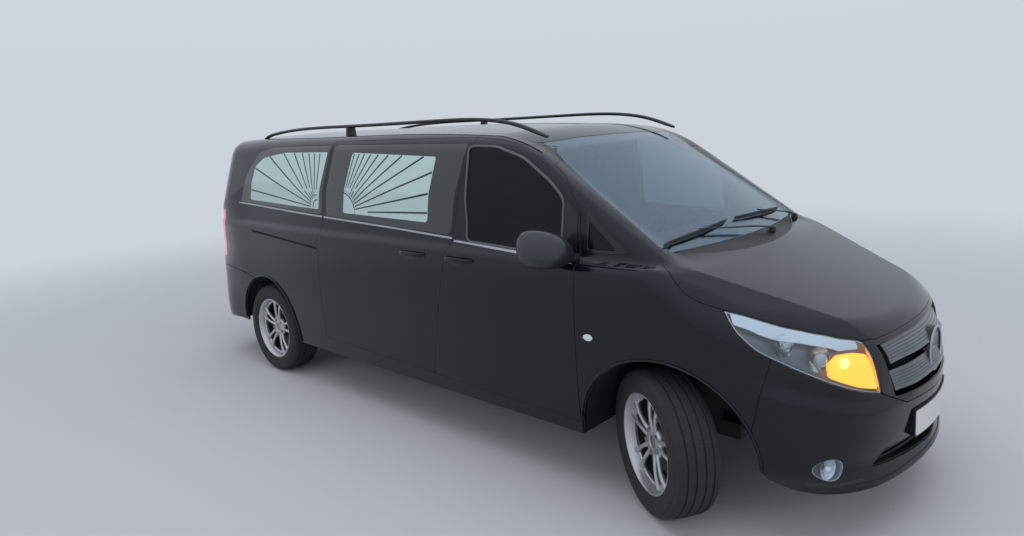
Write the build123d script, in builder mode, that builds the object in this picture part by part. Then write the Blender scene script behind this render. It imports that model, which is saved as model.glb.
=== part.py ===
"""A hearse: a long mid-size van with a coffin deck, in millimetres.

+X is forward, +Y is the left side, +Z is up. The origin is on the ground at the middle of the length.
The right-hand pieces are made first, at negative Y, and the left-hand ones are their mirror images.
"""
import math
import os

from build123d import *

# Overall sizes
front_overhang = 895.0
wheelbase = 3430.0
rear_overhang = 1045.0
length = front_overhang + wheelbase + rear_overhang
body_width = 1928.0
roof_height = 1825.0
nose_x = length / 2
tail_x = -length / 2
half_width = body_width / 2
front_axle_x = nose_x - front_overhang
rear_axle_x = front_axle_x - wheelbase
beyond = 1400.0

# Wheels and steering
tyre_radius = 338.0
tyre_width = 225.0
tread_shoulder = 38.0
rim_radius = 215.0
rim_width = 200.0
rim_flange = 18.0
rim_wall = 12.0
spoke_pairs = 5
spoke_face = 62.0
hub_radius = 62.0
hub_depth = 20.0
stub_radius = 42.0
kingpin_y = half_width - 204.0
kingpin_radius = 32.0
front_wheel_offset = 73.0
rear_wheel_y = half_width - 141.0
right_steer = -32.4
left_steer = -26.0
arch_radius = 412.0
arch_lip = 26.0
arch_flare = 8.0

# Body shell
sill_z = 300.0
waist_z = 800.0
shoulder_z = 1150.0
sill_tuck = 38.0
shoulder_tuck = 12.0
lean = 0.218
roof_crown = 42.0
roof_edge_radius = 85.0
wall = 60.0
roof_wall = 35.0
skin = 16.0
shut_gap = 6.0
panel_gap = 0.8
seat_clearance = 0.3
glass_thickness = 5.0
glass_inset = 4.0

# Windscreen: its lower edge, and how far it runs back for its rise
screen_foot_x = front_axle_x + 60.0
screen_foot_z = 1180.0
screen_bow = 118.0
screen_half = half_width - 199.0
screen_back = 0.79
screen_rise = 0.525

# Tail: it leans forward above the shoulder, with round corners
tail_side = half_width - 30.0
tail_lean = 0.19
tail_corner = 405.0
tail_gate_low_z = 585.0

# Bonnet: height at its rear edge, slope and crown
bonnet_rear_x = front_axle_x - 90.0
bonnet_rear_z = 1232.0
bonnet_slope = 0.385
bonnet_crown_radius = 3500.0

# Door shut lines, in the side view
door_front_x = front_axle_x - 430.0
door_rear_low_x = front_axle_x - 1500.0
door_rear_high_x = front_axle_x - 1190.0
slide_rear_x = rear_axle_x + 800.0
door_low_z = 367.0
door_top_z = roof_height - 73.0
sill_rise = 23.0
wing_rear_x = door_front_x + 7.0
roof_seam_y = half_width - 287.0
handle_z = 1096.0
handle_length = 215.0
handle_height = 30.0
handle_reach = 34.0
slide_slot = 14.0
slide_slot_depth = 12.0

# Nose: the bumper's lower lip, its air intake and fog lamps, and the grille above it
lip_z = 218.0
lip_tuck = 10.0
lip_slope = 0.2
grille_half = 480.0
grille_low_z = 590.0
slat_count = 3
slat_low_z = 612.0
slat_pitch = 78.0
slat_height = 54.0
slat_thickness = 12.0
slat_lean = 16.0
hole_pitch = 18.0
hole_size = 10.0
hole_rows = 2
centre_disc_radius = 104.0
intake_half = 520.0
intake_low_z = 302.0
intake_high_z = 384.0
fog_lamp_y = half_width - 294.0
fog_lamp_z = 342.0
fog_lamp_radius = 44.0

# Inside
floor_z = 450.0
floor_thickness = 60.0
floor_half = half_width - 92.0
deck_z = 750.0
deck_thickness = 30.0
deck_half = 545.0
deck_front_x = door_rear_low_x - 100.0
deck_rear_x = tail_x + 355.0
roller_radius = 12.0
roller_sink = 2.0
roller_pitch = 400.0
partition_x = door_rear_low_x - 75.0
partition_thickness = 25.0
seat_y = 400.0
seat_width = 460.0
bulkhead_x = door_front_x - 35.0
bulkhead_thickness = 25.0
axle_beam_z = 360.0
rail_y = half_width - 309.0
rail_radius = 15.0

# Plan of the body at its widest: x, y, and the way that the side faces there in degrees from forward
PLAN_POINTS = [
    (nose_x, 0.0, 0.0),
    (nose_x - 185.0, half_width - 314.0, 32.0),
    (nose_x - 395.0, half_width - 146.0, 52.0),
    (front_axle_x + 160.0, half_width - 39.0, 78.0),
    (front_axle_x - 90.0, half_width - 7.0, 85.0),
    (front_axle_x - 390.0, half_width, 90.0),
    (rear_axle_x + 440.0, half_width, 90.0),
    (tail_x + 395.0, half_width - 38.0, 96.0),
    (tail_x + 113.0, half_width - 174.0, 135.0),
    (tail_x + 20.0, half_width - 464.0, 174.0),
]

# x, half-width at the shoulder, roof height on the centre line
CABIN_STATIONS = [
    (front_axle_x + 160.0, half_width - 164.0, roof_height - 135.0),
    (front_axle_x - 790.0, half_width - 34.0, roof_height - 49.0),
    (front_axle_x - 1490.0, half_width - 13.0, roof_height - 10.0),
    (rear_axle_x + 640.0, half_width - 12.0, roof_height),
    (tail_x + 485.0, half_width - 38.0, roof_height - 7.0),
    (tail_x - 40.0, half_width - 74.0, roof_height - 35.0),
]

# Side-view outlines: x, z
FRONT_DOOR = [
    (door_rear_low_x, door_low_z + sill_rise),
    (door_front_x, door_low_z),
    (door_front_x, shoulder_z - 40.0),
    (door_front_x - 27.0, roof_height - 425.0),
    (door_front_x - 147.0, roof_height - 290.0),
    (door_front_x - 367.0, roof_height - 137.0),
    (door_front_x - 576.0, roof_height - 92.0),
    (door_rear_high_x, door_top_z),
]
SLIDING_DOOR = [
    (slide_rear_x, door_low_z + 2 * sill_rise),
    (door_rear_low_x, door_low_z + sill_rise),
    (door_rear_high_x, door_top_z),
    (slide_rear_x, door_top_z + 6.0),
]
FRONT_DOOR_WINDOW = [
    (door_rear_high_x + 11.0, shoulder_z + 50.0),
    (door_front_x - 70.0, shoulder_z + 22.0),
    (door_front_x - 98.0, roof_height - 440.0),
    (door_front_x - 210.0, roof_height - 325.0),
    (door_front_x - 395.0, roof_height - 197.0),
    (door_front_x - 590.0, roof_height - 139.0),
    (door_rear_high_x + 40.0, roof_height - 127.0),
]
SLIDING_WINDOW = [
    (slide_rear_x + 70.0, shoulder_z + 112.0),
    (door_rear_low_x + 45.0, shoulder_z + 68.0),
    (door_rear_high_x - 180.0, roof_height - 119.0),
    (slide_rear_x + 75.0, roof_height - 113.0),
]
REAR_WINDOW = [
    (tail_x + 720.0, shoulder_z + 162.0),
    (slide_rear_x - 65.0, shoulder_z + 120.0),
    (slide_rear_x - 65.0, roof_height - 113.0),
    (tail_x + 985.0, roof_height - 117.0),
    (tail_x + 865.0, roof_height - 170.0),
]
CORNER_WINDOW = [
    (door_front_x + 25.0, shoulder_z + 22.0),
    (door_front_x + 330.0, shoulder_z + 22.0),
    (door_front_x + 25.0, shoulder_z + 202.0),
]
SLIDE_SLOT = [
    (tail_x + 894.0, shoulder_z - 56.0),
    (slide_rear_x - 14.0, shoulder_z - 112.0),
    (slide_rear_x - 14.0, shoulder_z - 112.0 + slide_slot),
    (tail_x + 894.0, shoulder_z - 56.0 + slide_slot),
]
HEADLAMP = [
    (nose_x - 615.0, 1020.0),
    (nose_x - 522.0, 871.0),
    (nose_x - 346.0, 760.0),
    (nose_x - 110.0, 632.0),
    (nose_x - 85.0, 860.0),
    (nose_x - 385.0, 1040.0),
]
BUMPER = [
    (nose_x - 565.0, lip_z - 18.0),
    (nose_x - 490.0, 560.0),
    (nose_x - 439.0, 800.0),
    (nose_x - 346.0, 752.0),
    (nose_x - 107.0, 624.0),
    (nose_x - 60.0, grille_low_z),
    (nose_x + 115.0, grille_low_z),
    (nose_x + 115.0, lip_z - 18.0),
]

# Half of the bonnet's outline in plan: x, y
BONNET_PLAN = [
    (bonnet_rear_x - 100.0, 0.0),
    (bonnet_rear_x - 10.0, half_width - 194.0),
    (bonnet_rear_x + 61.0, half_width - 152.0),
    (bonnet_rear_x + 157.0, half_width - 114.0),
    (nose_x - 613.0, half_width - 96.0),
    (nose_x - 385.0, half_width - 264.0),
    (nose_x - 205.0, half_width - 444.0),
    (nose_x - 125.0, 300.0),
    (nose_x - 105.0, 0.0),
]

# Half of each outline seen from the front or the rear: y, z
SCREEN_OPENING = [
    (0.0, screen_foot_z + 16.0),
    (half_width - 222.0, screen_foot_z + 16.0),
    (half_width - 309.0, roof_height - 103.0),
    (0.0, roof_height - 91.0),
]
TAILGATE = [
    (0.0, tail_gate_low_z),
    (half_width - 259.0, tail_gate_low_z),
    (half_width - 229.0, shoulder_z),
    (half_width - 324.0, roof_height - 97.0),
    (0.0, roof_height - 85.0),
]
TAILGATE_WINDOW = [
    (0.0, shoulder_z + 40.0),
    (half_width - 324.0, shoulder_z + 40.0),
    (half_width - 404.0, roof_height - 175.0),
    (0.0, roof_height - 165.0),
]
TAIL_LAMP = [
    (half_width - 224.0, waist_z),
    (half_width + 36.0, waist_z),
    (half_width + 36.0, shoulder_z + 140.0),
    (half_width - 229.0, shoulder_z + 140.0),
]
GRILLE_OPENING = [(0.0, slat_low_z - 6.0), (300.0, slat_low_z - 6.0), (445.0, 822.0), (0.0, 842.0)]

# Side view of a front seat, and of the dashboard: x, z
SEAT_SIDE = [
    (door_rear_low_x + 250.0, 700.0),
    (door_rear_low_x + 725.0, 695.0),
    (door_rear_low_x + 745.0, 770.0),
    (door_rear_low_x + 700.0, 825.0),
    (door_rear_low_x + 330.0, 795.0),
    (door_rear_low_x + 235.0, 1290.0),
    (door_rear_low_x + 185.0, 1330.0),
    (door_rear_low_x + 125.0, 1300.0),
    (door_rear_low_x + 190.0, 800.0),
]
DASHBOARD_SIDE = [
    (bulkhead_x - 1.0, 830.0),
    (bulkhead_x - 1.0, shoulder_z - 15.0),
    (bulkhead_x - 165.0, shoulder_z - 25.0),
    (bulkhead_x - 255.0, shoulder_z - 90.0),
    (bulkhead_x - 285.0, shoulder_z - 190.0),
    (bulkhead_x - 210.0, 830.0),
]


def mirrored(part):
    """The same piece on the other side of the vehicle."""
    with BuildPart() as other:
        add(mirror(part, about=Plane.XZ))
    return other.part


def with_mirror(part):
    """A right-hand piece and its left-hand twin."""
    return both(part, mirrored(part))


def common(first, *others):
    """What lies in the first piece and in each of the others."""
    with BuildPart() as piece:
        add(first)
        for other in others:
            add(other, mode=Mode.INTERSECT)
    return piece.part


def less(first, *others):
    """The first piece with the others cut away."""
    with BuildPart() as piece:
        add(first)
        for other in others:
            add(other, mode=Mode.SUBTRACT)
    return piece.part


def both(first, *others):
    """All the pieces together."""
    with BuildPart() as piece:
        add(first)
        for other in others:
            add(other)
    return piece.part


def block(low, high):
    """A box from its low corner to its high corner."""
    with BuildPart() as piece:
        with Locations(tuple((a + b) / 2 for a, b in zip(low, high))):
            Box(*[b - a for a, b in zip(low, high)])
    return piece.part


def side_view(points, low_y=300.0, high_y=beyond, corner=0.0):
    """A side-view outline made solid across the right-hand side of the body."""
    with BuildPart() as prism:
        with BuildSketch(Plane.XZ.offset(low_y)) as face:
            with BuildLine():
                Polyline(*points, close=True)
            make_face()
            if corner:
                fillet(face.vertices(), corner)
        extrude(amount=high_y - low_y)
    return prism.part


def front_view(points, low_x, high_x):
    """An outline of y and z made solid between two places along the body."""
    with BuildPart() as prism:
        with BuildSketch(Plane(origin=(low_x, 0, 0), x_dir=(0, 1, 0), z_dir=(1, 0, 0))):
            with BuildLine():
                Polyline(*points, close=True)
            make_face()
        extrude(amount=high_x - low_x)
    return prism.part


def both_sides(points):
    """A closed outline from its half: the points off the centre line come again on the other side."""
    return points + [(-y, z) for y, z in reversed(points) if y != 0]


def whole_front_view(points, low_x, high_x):
    """A half outline and its mirror image made solid between two places along the body."""
    return front_view(both_sides(points), low_x, high_x)


def top_view(points, low_z, high_z):
    """A plan outline drawn for one side and mirrored, made solid between two heights."""
    with BuildPart() as prism:
        with BuildSketch(Plane.XY.offset(low_z)):
            with BuildLine():
                Polyline(*(points + [(x, -y) for x, y in reversed(points) if y != 0]), close=True)
            make_face()
        extrude(amount=high_z - low_z)
    return prism.part


def axle_cylinder(x, radius, low_y, high_y):
    """A cylinder across the right-hand side, round an axle line."""
    with BuildPart() as drum:
        with BuildSketch(Plane.XZ.offset(low_y)):
            with Locations((x, tyre_radius)):
                Circle(radius)
        extrude(amount=high_y - low_y)
    return drum.part


def grown(points, amount):
    """An outline moved out by amount, or in where amount is negative."""
    with BuildSketch() as shape:
        with BuildLine():
            Polyline(*points, close=True)
        make_face()
        offset(amount=amount, kind=Kind.INTERSECTION, mode=Mode.REPLACE)
    wire = shape.sketch.faces()[0].outer_wire()
    return [tuple(edge @ 0)[:2] for edge in wire.order_edges()]


def seated_half(points):
    """Half of an outline drawn in by the seat clearance, its points on the centre line kept there."""
    low = min(z for y, z in points)
    drawn = []
    for y, z in points:
        side = y - 2 * seat_clearance if y > 0 else 0.0
        drawn.append((side, z + seat_clearance if z == low else z - seat_clearance))
    return drawn


def plan_outline(inset):
    """The body seen from above: bowed nose, long sides with a little taper, round rear corners."""
    points = []
    for x, y, facing in PLAN_POINTS:
        turn = math.radians(facing)
        points.append((x - inset * math.cos(turn), y - inset * math.sin(turn)))
    nose, nose_end, corner_end = points[0], points[1], points[-1]
    tail = (tail_x + inset, 0)
    with BuildSketch() as plan:
        with BuildLine():
            for side in (1, -1):
                flip = [(x, side * y) for x, y in points]
                ThreePointArc(flip[1], flip[2], flip[3])
                ThreePointArc(flip[3], flip[4], flip[5])
                Line(flip[5], flip[6])
                Line(flip[6], flip[7])
                ThreePointArc(flip[7], flip[8], flip[9])
            ThreePointArc(nose_end, nose, (nose_end[0], -nose_end[1]))
            ThreePointArc(corner_end, tail, (corner_end[0], -corner_end[1]))
        make_face()
    return plan.sketch


def ruled_block(levels):
    """A block whose plan changes straight from one level to the next; a level is a height and an inset."""
    with BuildPart() as solid:
        loft([Plane.XY.offset(z) * plan_outline(inset) for z, inset in levels], ruled=True)
    return solid.part


def lower_block(inset):
    """The lower body between the sill and the shoulder, drawn in by inset all round."""
    levels = ((sill_z, sill_tuck), (waist_z, 0.0), (shoulder_z, shoulder_tuck))
    return ruled_block([(z, inset + tuck) for z, tuck in levels])


def cabin_section(station, inset, roof_inset):
    """The cabin across: leaning sides, round roof edges and a crowned roof."""
    x, shoulder_half, crown_z = station
    edge_z = crown_z - roof_crown - roof_inset
    half = shoulder_half - inset
    edge_half = half - lean * (edge_z - shoulder_z)
    with BuildSketch(Plane(origin=(x, 0, 0), x_dir=(0, 1, 0), z_dir=(1, 0, 0))) as section:
        with BuildLine():
            Line((-edge_half, edge_z), (-half, shoulder_z))
            Line((-half, shoulder_z), (half, shoulder_z))
            Line((half, shoulder_z), (edge_half, edge_z))
            ThreePointArc((edge_half, edge_z), (0, crown_z - roof_inset), (-edge_half, edge_z))
        make_face()
        fillet(section.vertices().group_by(Axis.Y)[-1], roof_edge_radius)
    return section.sketch


def cabin_block(inset, roof_inset):
    """Everything above the shoulder before the windscreen and tail are cut."""
    with BuildPart() as solid:
        loft([cabin_section(station, inset, roof_inset) for station in CABIN_STATIONS])
    return solid.part


def screen_space(inset):
    """All that lies behind the windscreen's surface, leaning back with it."""
    start_z = 700.0
    shift = (screen_foot_z - start_z) * screen_back / screen_rise
    foot = screen_foot_x + shift - inset
    edge_x = foot - screen_bow * (beyond / screen_half) ** 2
    with BuildPart() as space:
        with BuildSketch(Plane.XY.offset(start_z)):
            with BuildLine():
                ThreePointArc((edge_x, -beyond), (foot, 0), (edge_x, beyond))
                Polyline((edge_x, beyond), (2 * tail_x, beyond), (2 * tail_x, -beyond), (edge_x, -beyond))
            make_face()
        extrude(amount=2600.0, dir=(-screen_back, 0, screen_rise))
    return space.part


def tail_plan(inset, rise):
    """What lies ahead of the tail at a height above the shoulder: round corners, drawn in as it rises."""
    side = tail_side - inset - lean * rise
    rear = tail_x + 20.0 + inset + tail_lean * rise
    ahead = nose_x + 115.0
    start = rear + tail_corner - 30.0
    turn_y = side - tail_corner - 21.0
    with BuildSketch() as plan:
        with BuildLine():
            Polyline((ahead, -beyond), (ahead, beyond), (tail_x + 785.0, beyond), (start, side))
            RadiusArc((start, side), (rear, turn_y), -tail_corner)
            Line((rear, turn_y), (rear, -turn_y))
            RadiusArc((rear, -turn_y), (start, -side), -tail_corner)
            Polyline((start, -side), (tail_x + 785.0, -beyond), (ahead, -beyond))
        make_face()
    return plan.sketch


def tail_space(inset):
    """All that lies ahead of the tail's surface, whose sides and rear lean in above the shoulder."""
    rise = 850.0
    low = Plane.XY.offset(shoulder_z - 1) * tail_plan(inset + shoulder_tuck, 0)
    high = Plane.XY.offset(shoulder_z + rise) * tail_plan(inset + shoulder_tuck, rise)
    with BuildPart() as space:
        loft([low, high], ruled=True)
    return space.part


def bonnet_space(inset):
    """All that lies below the bonnet's surface, crowned across and sloping to the nose."""
    start_x = tail_x - 300.0
    centre_z = bonnet_rear_z + (bonnet_rear_x - start_x) * bonnet_slope - inset
    edge_z = centre_z - bonnet_crown_radius + math.sqrt(bonnet_crown_radius**2 - beyond**2)
    with BuildPart() as space:
        with BuildSketch(Plane(origin=(start_x, 0, 0), x_dir=(0, 1, 0), z_dir=(1, 0, 0))):
            with BuildLine():
                ThreePointArc((-beyond, edge_z), (0, centre_z), (beyond, edge_z))
                Polyline((beyond, edge_z), (beyond, -600), (-beyond, -600), (-beyond, edge_z))
            make_face()
        extrude(amount=length * 1.25, dir=(1, 0, -bonnet_slope))
    return space.part


def nose_top(inset):
    """What rises above the shoulder under the rear of the bonnet."""
    rise = bonnet_rear_z - shoulder_z + 40.0
    plan = plan_outline(inset + shoulder_tuck + 30.0)
    with BuildPart() as top:
        with BuildSketch(Plane.XY.offset(shoulder_z)):
            add(plan)
        extrude(amount=rise)
        with BuildSketch(Plane.XY.offset(shoulder_z)):
            with Locations((front_axle_x - 230.0, 0)):
                Rectangle(500, 2 * (half_width - 134.0 - inset), align=(Align.MIN, Align.CENTER))
        extrude(amount=rise, mode=Mode.INTERSECT)
    return top.part


def body_block(inset, roof_inset):
    """The whole outer form, drawn in by inset at the sides and by roof_inset at the roof."""
    low = common(both(lower_block(inset), nose_top(inset)), bonnet_space(roof_inset))
    cabin = common(cabin_block(inset, roof_inset), screen_space(roof_inset), tail_space(inset))
    return both(low, cabin)


def build_shells():
    """The body's hollow forms: the whole wall, a thin skin, and the sheet that the glass is cut from."""
    outer = body_block(0.0, 0.0)
    far_side = glass_inset + glass_thickness
    return {
        "wall": less(outer, body_block(wall, roof_wall)),
        "skin": less(outer, body_block(skin, skin)),
        "glass": less(body_block(glass_inset, glass_inset), body_block(far_side, far_side)),
        "flare": less(body_block(-arch_flare, -arch_flare), body_block(skin, skin)),
    }


def arch_edge(x, shells, ahead_of):
    """The flared lip round a right-hand wheel arch, from one place along the body forward."""
    ring = less(
        axle_cylinder(x, arch_radius + arch_lip, 500, beyond),
        axle_cylinder(x, arch_radius, 400, beyond + 1),
    )
    return common(shells["flare"], ring, block((ahead_of, -beyond, sill_z), (nose_x, 0, shoulder_z)))


def pull_handle(front_x, z):
    """A door's pull handle: a bar that stands off the skin on its two feet."""
    outer_y = half_width + handle_reach - shoulder_tuck
    inner_y = half_width - skin - shoulder_tuck
    with BuildPart() as bar:
        with BuildSketch(Plane.XY.offset(z - handle_height / 2)) as plan:
            with BuildLine():
                Polyline(
                    (front_x, -inner_y),
                    (front_x - 30, -outer_y),
                    (front_x - handle_length + 30, -outer_y),
                    (front_x - handle_length, -inner_y),
                    close=True,
                )
            make_face()
            fillet(plan.vertices().sort_by(Axis.Y)[:2], 14)
            with Locations((front_x - handle_length / 2, -inner_y - 8)):
                Rectangle(handle_length - 75, 2 * (handle_reach - 18), mode=Mode.SUBTRACT)
        extrude(amount=handle_height)
    return bar.part


def door_lugs():
    """Hinge and runner lugs of the side panel, each ending a hair short of the door that it carries."""
    lug_y = half_width - 44.0
    hinge_x = door_front_x - shut_gap + seat_clearance
    runner_x = slide_rear_x + shut_gap - seat_clearance
    lugs = []
    for z in (560.0, 980.0):
        lugs.append(block((hinge_x, -lug_y - 10, z), (wing_rear_x - panel_gap, -lug_y + 15, z + 50)))
    for z in (700.0, 1060.0):
        lugs.append(block((slide_rear_x - 10, -lug_y - 10, z), (runner_x, -lug_y + 10, z + 40)))
    return lugs


def side_pieces(shells):
    """Doors, side panel and side glass of the right side."""
    half = block((tail_x - 10, -beyond, 200), (nose_x, -300, roof_height + 75))
    wall_right = common(shells["wall"], half)
    glass_right = common(shells["glass"], half)
    above_doors = block((tail_x - 115, -roof_seam_y - shut_gap, 1600), (door_front_x + 140, 0, 1950))
    doors = {
        "front_door": (FRONT_DOOR, FRONT_DOOR_WINDOW, door_rear_high_x + 80),
        "sliding_door": (SLIDING_DOOR, SLIDING_WINDOW, door_rear_low_x - 10),
    }
    pieces = {}
    for name, (outline, window, handle_x) in doors.items():
        slab = common(wall_right, side_view(grown(outline, -shut_gap)))
        slab = less(slab, side_view(window), above_doors)
        pieces[name] = both(slab, pull_handle(handle_x, handle_z))
    rear_arch = axle_cylinder(rear_axle_x, arch_radius, 300, beyond)
    roof_cut = block((tail_x - 115, -roof_seam_y - seat_clearance, 1700), (door_front_x + 140, 680, 1950))
    cowl_y = half_width - 229.0
    front_cut = both(
        block((wing_rear_x - panel_gap, -beyond, 100), (nose_x + 115, 0, shoulder_z + seat_clearance)),
        block((wing_rear_x, -cowl_y, 100), (nose_x + 115, 0, shoulder_z + 47)),
        whole_front_view(SCREEN_OPENING, 700, nose_x),
    )
    tail_cut = both(
        block((tail_x - 115, -beyond, 100), (rear_axle_x - 510, beyond, tail_gate_low_z)),
        whole_front_view(grown_half(TAILGATE, shut_gap), tail_x - 115, tail_x + 385),
        front_view([(-y, z) for y, z in TAIL_LAMP], tail_x - 115, tail_x + 245),
    )
    slot = common(side_view(SLIDE_SLOT), less(shells["skin"], body_block(slide_slot_depth, slide_slot_depth)))
    panel = less(
        wall_right,
        roof_cut,
        front_cut,
        tail_cut,
        side_view(FRONT_DOOR),
        side_view(SLIDING_DOOR),
        side_view(REAR_WINDOW),
        side_view(CORNER_WINDOW),
        rear_arch,
        slot,
    )
    pieces["side_panel"] = both(panel, arch_edge(rear_axle_x, shells, tail_x), *door_lugs())
    panes = {"door_glass": [FRONT_DOOR_WINDOW], "side_glass": [SLIDING_WINDOW, REAR_WINDOW, CORNER_WINDOW]}
    for name, outlines in panes.items():
        sheets = [common(glass_right, side_view(grown(outline, -seat_clearance))) for outline in outlines]
        pieces[name] = both(*sheets)
    return pieces


def grown_half(points, amount):
    """Half of an outline moved out by amount, its points on the centre line kept there."""
    low = min(z for y, z in points)
    return [(y + amount if y > 0 else 0.0, z - amount if z == low else z + amount) for y, z in points]


def slat_holes(low_z):
    """Rows of small square holes through one slat, staggered, on both sides of the disc."""
    count = int((grille_half - centre_disc_radius - 90) / hole_pitch)
    spots = []
    for row in range(hole_rows):
        z = low_z + slat_height * (row + 1) / (hole_rows + 1)
        start = centre_disc_radius + 20 + (row % 2) * hole_pitch / 2
        spots += [(side * (start + n * hole_pitch), z) for n in range(count) for side in (-1, 1)]
    with BuildPart() as holes:
        with BuildSketch(Plane(origin=(nose_x - 400, 0, 0), x_dir=(0, 1, 0), z_dir=(1, 0, 0))):
            with Locations(*spots):
                Rectangle(hole_size, hole_size)
        extrude(amount=500)
    return holes.part


def louvre_slats(disc_z):
    """The grille's slats: each leans, follows the nose's plan, and stops short of the disc."""
    inside = whole_front_view(grown_half(GRILLE_OPENING, -seat_clearance), nose_x - 250, nose_x)
    with BuildPart() as round_hole:
        with BuildSketch(Plane(origin=(nose_x - 250, 0, disc_z), x_dir=(0, 1, 0), z_dir=(1, 0, 0))):
            Circle(centre_disc_radius + seat_clearance)
        extrude(amount=300)
    slats = []
    for k in range(slat_count):
        low_z = slat_low_z + k * slat_pitch
        levels = ((low_z, 10.0), (low_z + slat_height, 10.0 + slat_lean))
        band = less(ruled_block(levels), ruled_block([(z, inset + slat_thickness) for z, inset in levels]))
        slats.append(less(common(band, inside), round_hole.part, slat_holes(low_z)))
    return slats


def grille(front_wall, under_bonnet):
    """A surround in the nose, with perforated slats and a round plain disc as solids of their own."""
    low, high = (nose_x - 285, grille_low_z + 0.5), (nose_x + 115, 1000)
    half = grille_half - 0.5
    surround = common(front_wall, block((low[0], -half, low[1]), (high[0], half, high[1])))
    surround = less(surround, under_bonnet, whole_front_view(GRILLE_OPENING, nose_x - 300, nose_x + 100))
    disc_z = slat_low_z + 110.0
    with BuildPart() as disc:
        with BuildSketch(Plane(origin=(nose_x - 62, 0, disc_z), x_dir=(0, 1, 0), z_dir=(1, 0, 0))):
            Circle(centre_disc_radius)
        extrude(amount=46)
        chamfer(disc.faces().sort_by(Axis.X)[-1].edges(), 6)
        with BuildSketch(Plane(origin=(nose_x - 22, 0, disc_z), x_dir=(0, 1, 0), z_dir=(1, 0, 0))):
            Circle(centre_disc_radius - 16)
        extrude(amount=8, mode=Mode.SUBTRACT)
    return both(surround, *louvre_slats(disc_z), disc.part)


def front_bumper(front_wall, arch):
    """The bumper: its lower lip runs round the nose, with an air intake and two fog lamp holes."""
    lip_levels = ((lip_z, lip_tuck), (sill_z, sill_tuck))
    lip = less(ruled_block(lip_levels), ruled_block([(z, tuck + wall) for z, tuck in lip_levels]))
    outline = side_view(grown(BUMPER, -panel_gap), 0.0)
    below_lip = side_view(
        [(nose_x - 600, 100), (nose_x + 200, 100), (nose_x + 200, lip_z - 40), (nose_x - 600, lip_z + 600 * lip_slope)],
        0.0,
    )
    grille_gap = block(
        (nose_x - 285, -grille_half - seat_clearance, grille_low_z),
        (nose_x + 115, grille_half + seat_clearance, 1000),
    )
    intake = whole_front_view(
        [(0, intake_low_z), (intake_half, intake_low_z + 18), (intake_half - 60, intake_high_z), (0, intake_high_z)],
        nose_x - 500,
        nose_x + 100,
    )
    bars = []
    for z in (intake_low_z + 24, intake_low_z + 52):
        levels = ((z, 30.0), (z + 10, 30.0))
        bar = less(ruled_block(levels), ruled_block([(height, inset + 20) for height, inset in levels]))
        bars.append(common(bar, intake))
    with BuildPart() as fog_holes:
        with BuildSketch(Plane(origin=(nose_x - 500, 0, 0), x_dir=(0, 1, 0), z_dir=(1, 0, 0))):
            with Locations((fog_lamp_y, fog_lamp_z), (-fog_lamp_y, fog_lamp_z)):
                Circle(fog_lamp_radius + seat_clearance)
        extrude(amount=600)
    shape = common(both(front_wall, lip), with_mirror(outline))
    cuts = [arch, mirrored(arch), with_mirror(below_lip), grille_gap, intake, fog_holes.part]
    return both(less(shape, *cuts), *bars)


def front_pieces(shells):
    """Bonnet, wings, bumper, grille, headlamps and fog lamps."""
    pieces = {}
    front_wall = common(shells["wall"], block((door_front_x + 140, -beyond, 100), (nose_x + 115, beyond, 1400)))
    arch = axle_cylinder(front_axle_x, arch_radius, 500, beyond)
    bonnet_slab = less(bonnet_space(-20.0), bonnet_space(wall))
    pieces["bonnet"] = less(common(front_wall, bonnet_slab, top_view(BONNET_PLAN, 600, 1400)), screen_space(-12.0))
    under_bonnet = top_view(grown_bonnet_plan(5.0), 600, 1400)
    lamp_space = block((nose_x - 685, -beyond, 500), (nose_x + 115, -grille_half, 1200))
    lamp = common(front_wall, side_view(grown(HEADLAMP, -panel_gap), 440.0), lamp_space)
    pieces["headlamps"] = with_mirror(less(lamp, under_bonnet))
    pieces["grille"] = grille(front_wall, under_bonnet)
    pieces["front_bumper"] = front_bumper(front_wall, arch)
    wing_space = block((wing_rear_x, -beyond, sill_z), (nose_x - 285, -500, shoulder_z))
    wing = both(common(shells["skin"], wing_space), arch_edge(front_axle_x, shells, wing_rear_x))
    wing = less(wing, under_bonnet, side_view(HEADLAMP, 300.0), side_view(BUMPER, 0.0), arch)
    pieces["front_wings"] = with_mirror(wing)
    with BuildPart() as fog_lamps:
        with BuildSketch(Plane(origin=(nose_x - 330, 0, 0), x_dir=(0, 1, 0), z_dir=(1, 0, 0))):
            with Locations((fog_lamp_y, fog_lamp_z), (-fog_lamp_y, fog_lamp_z)):
                Circle(fog_lamp_radius)
        extrude(amount=60)
        chamfer(fog_lamps.faces().sort_by(Axis.X)[-2:].edges(), 6)
    pieces["fog_lamps"] = fog_lamps.part
    return pieces


def grown_bonnet_plan(amount):
    """The bonnet's plan outline moved out, except along the centre line and at its rear edge."""
    ahead = nose_x - 285.0
    return [(x + (amount if x > ahead else 0.0), y + amount if y > 0 else 0.0) for x, y in BONNET_PLAN]


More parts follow.
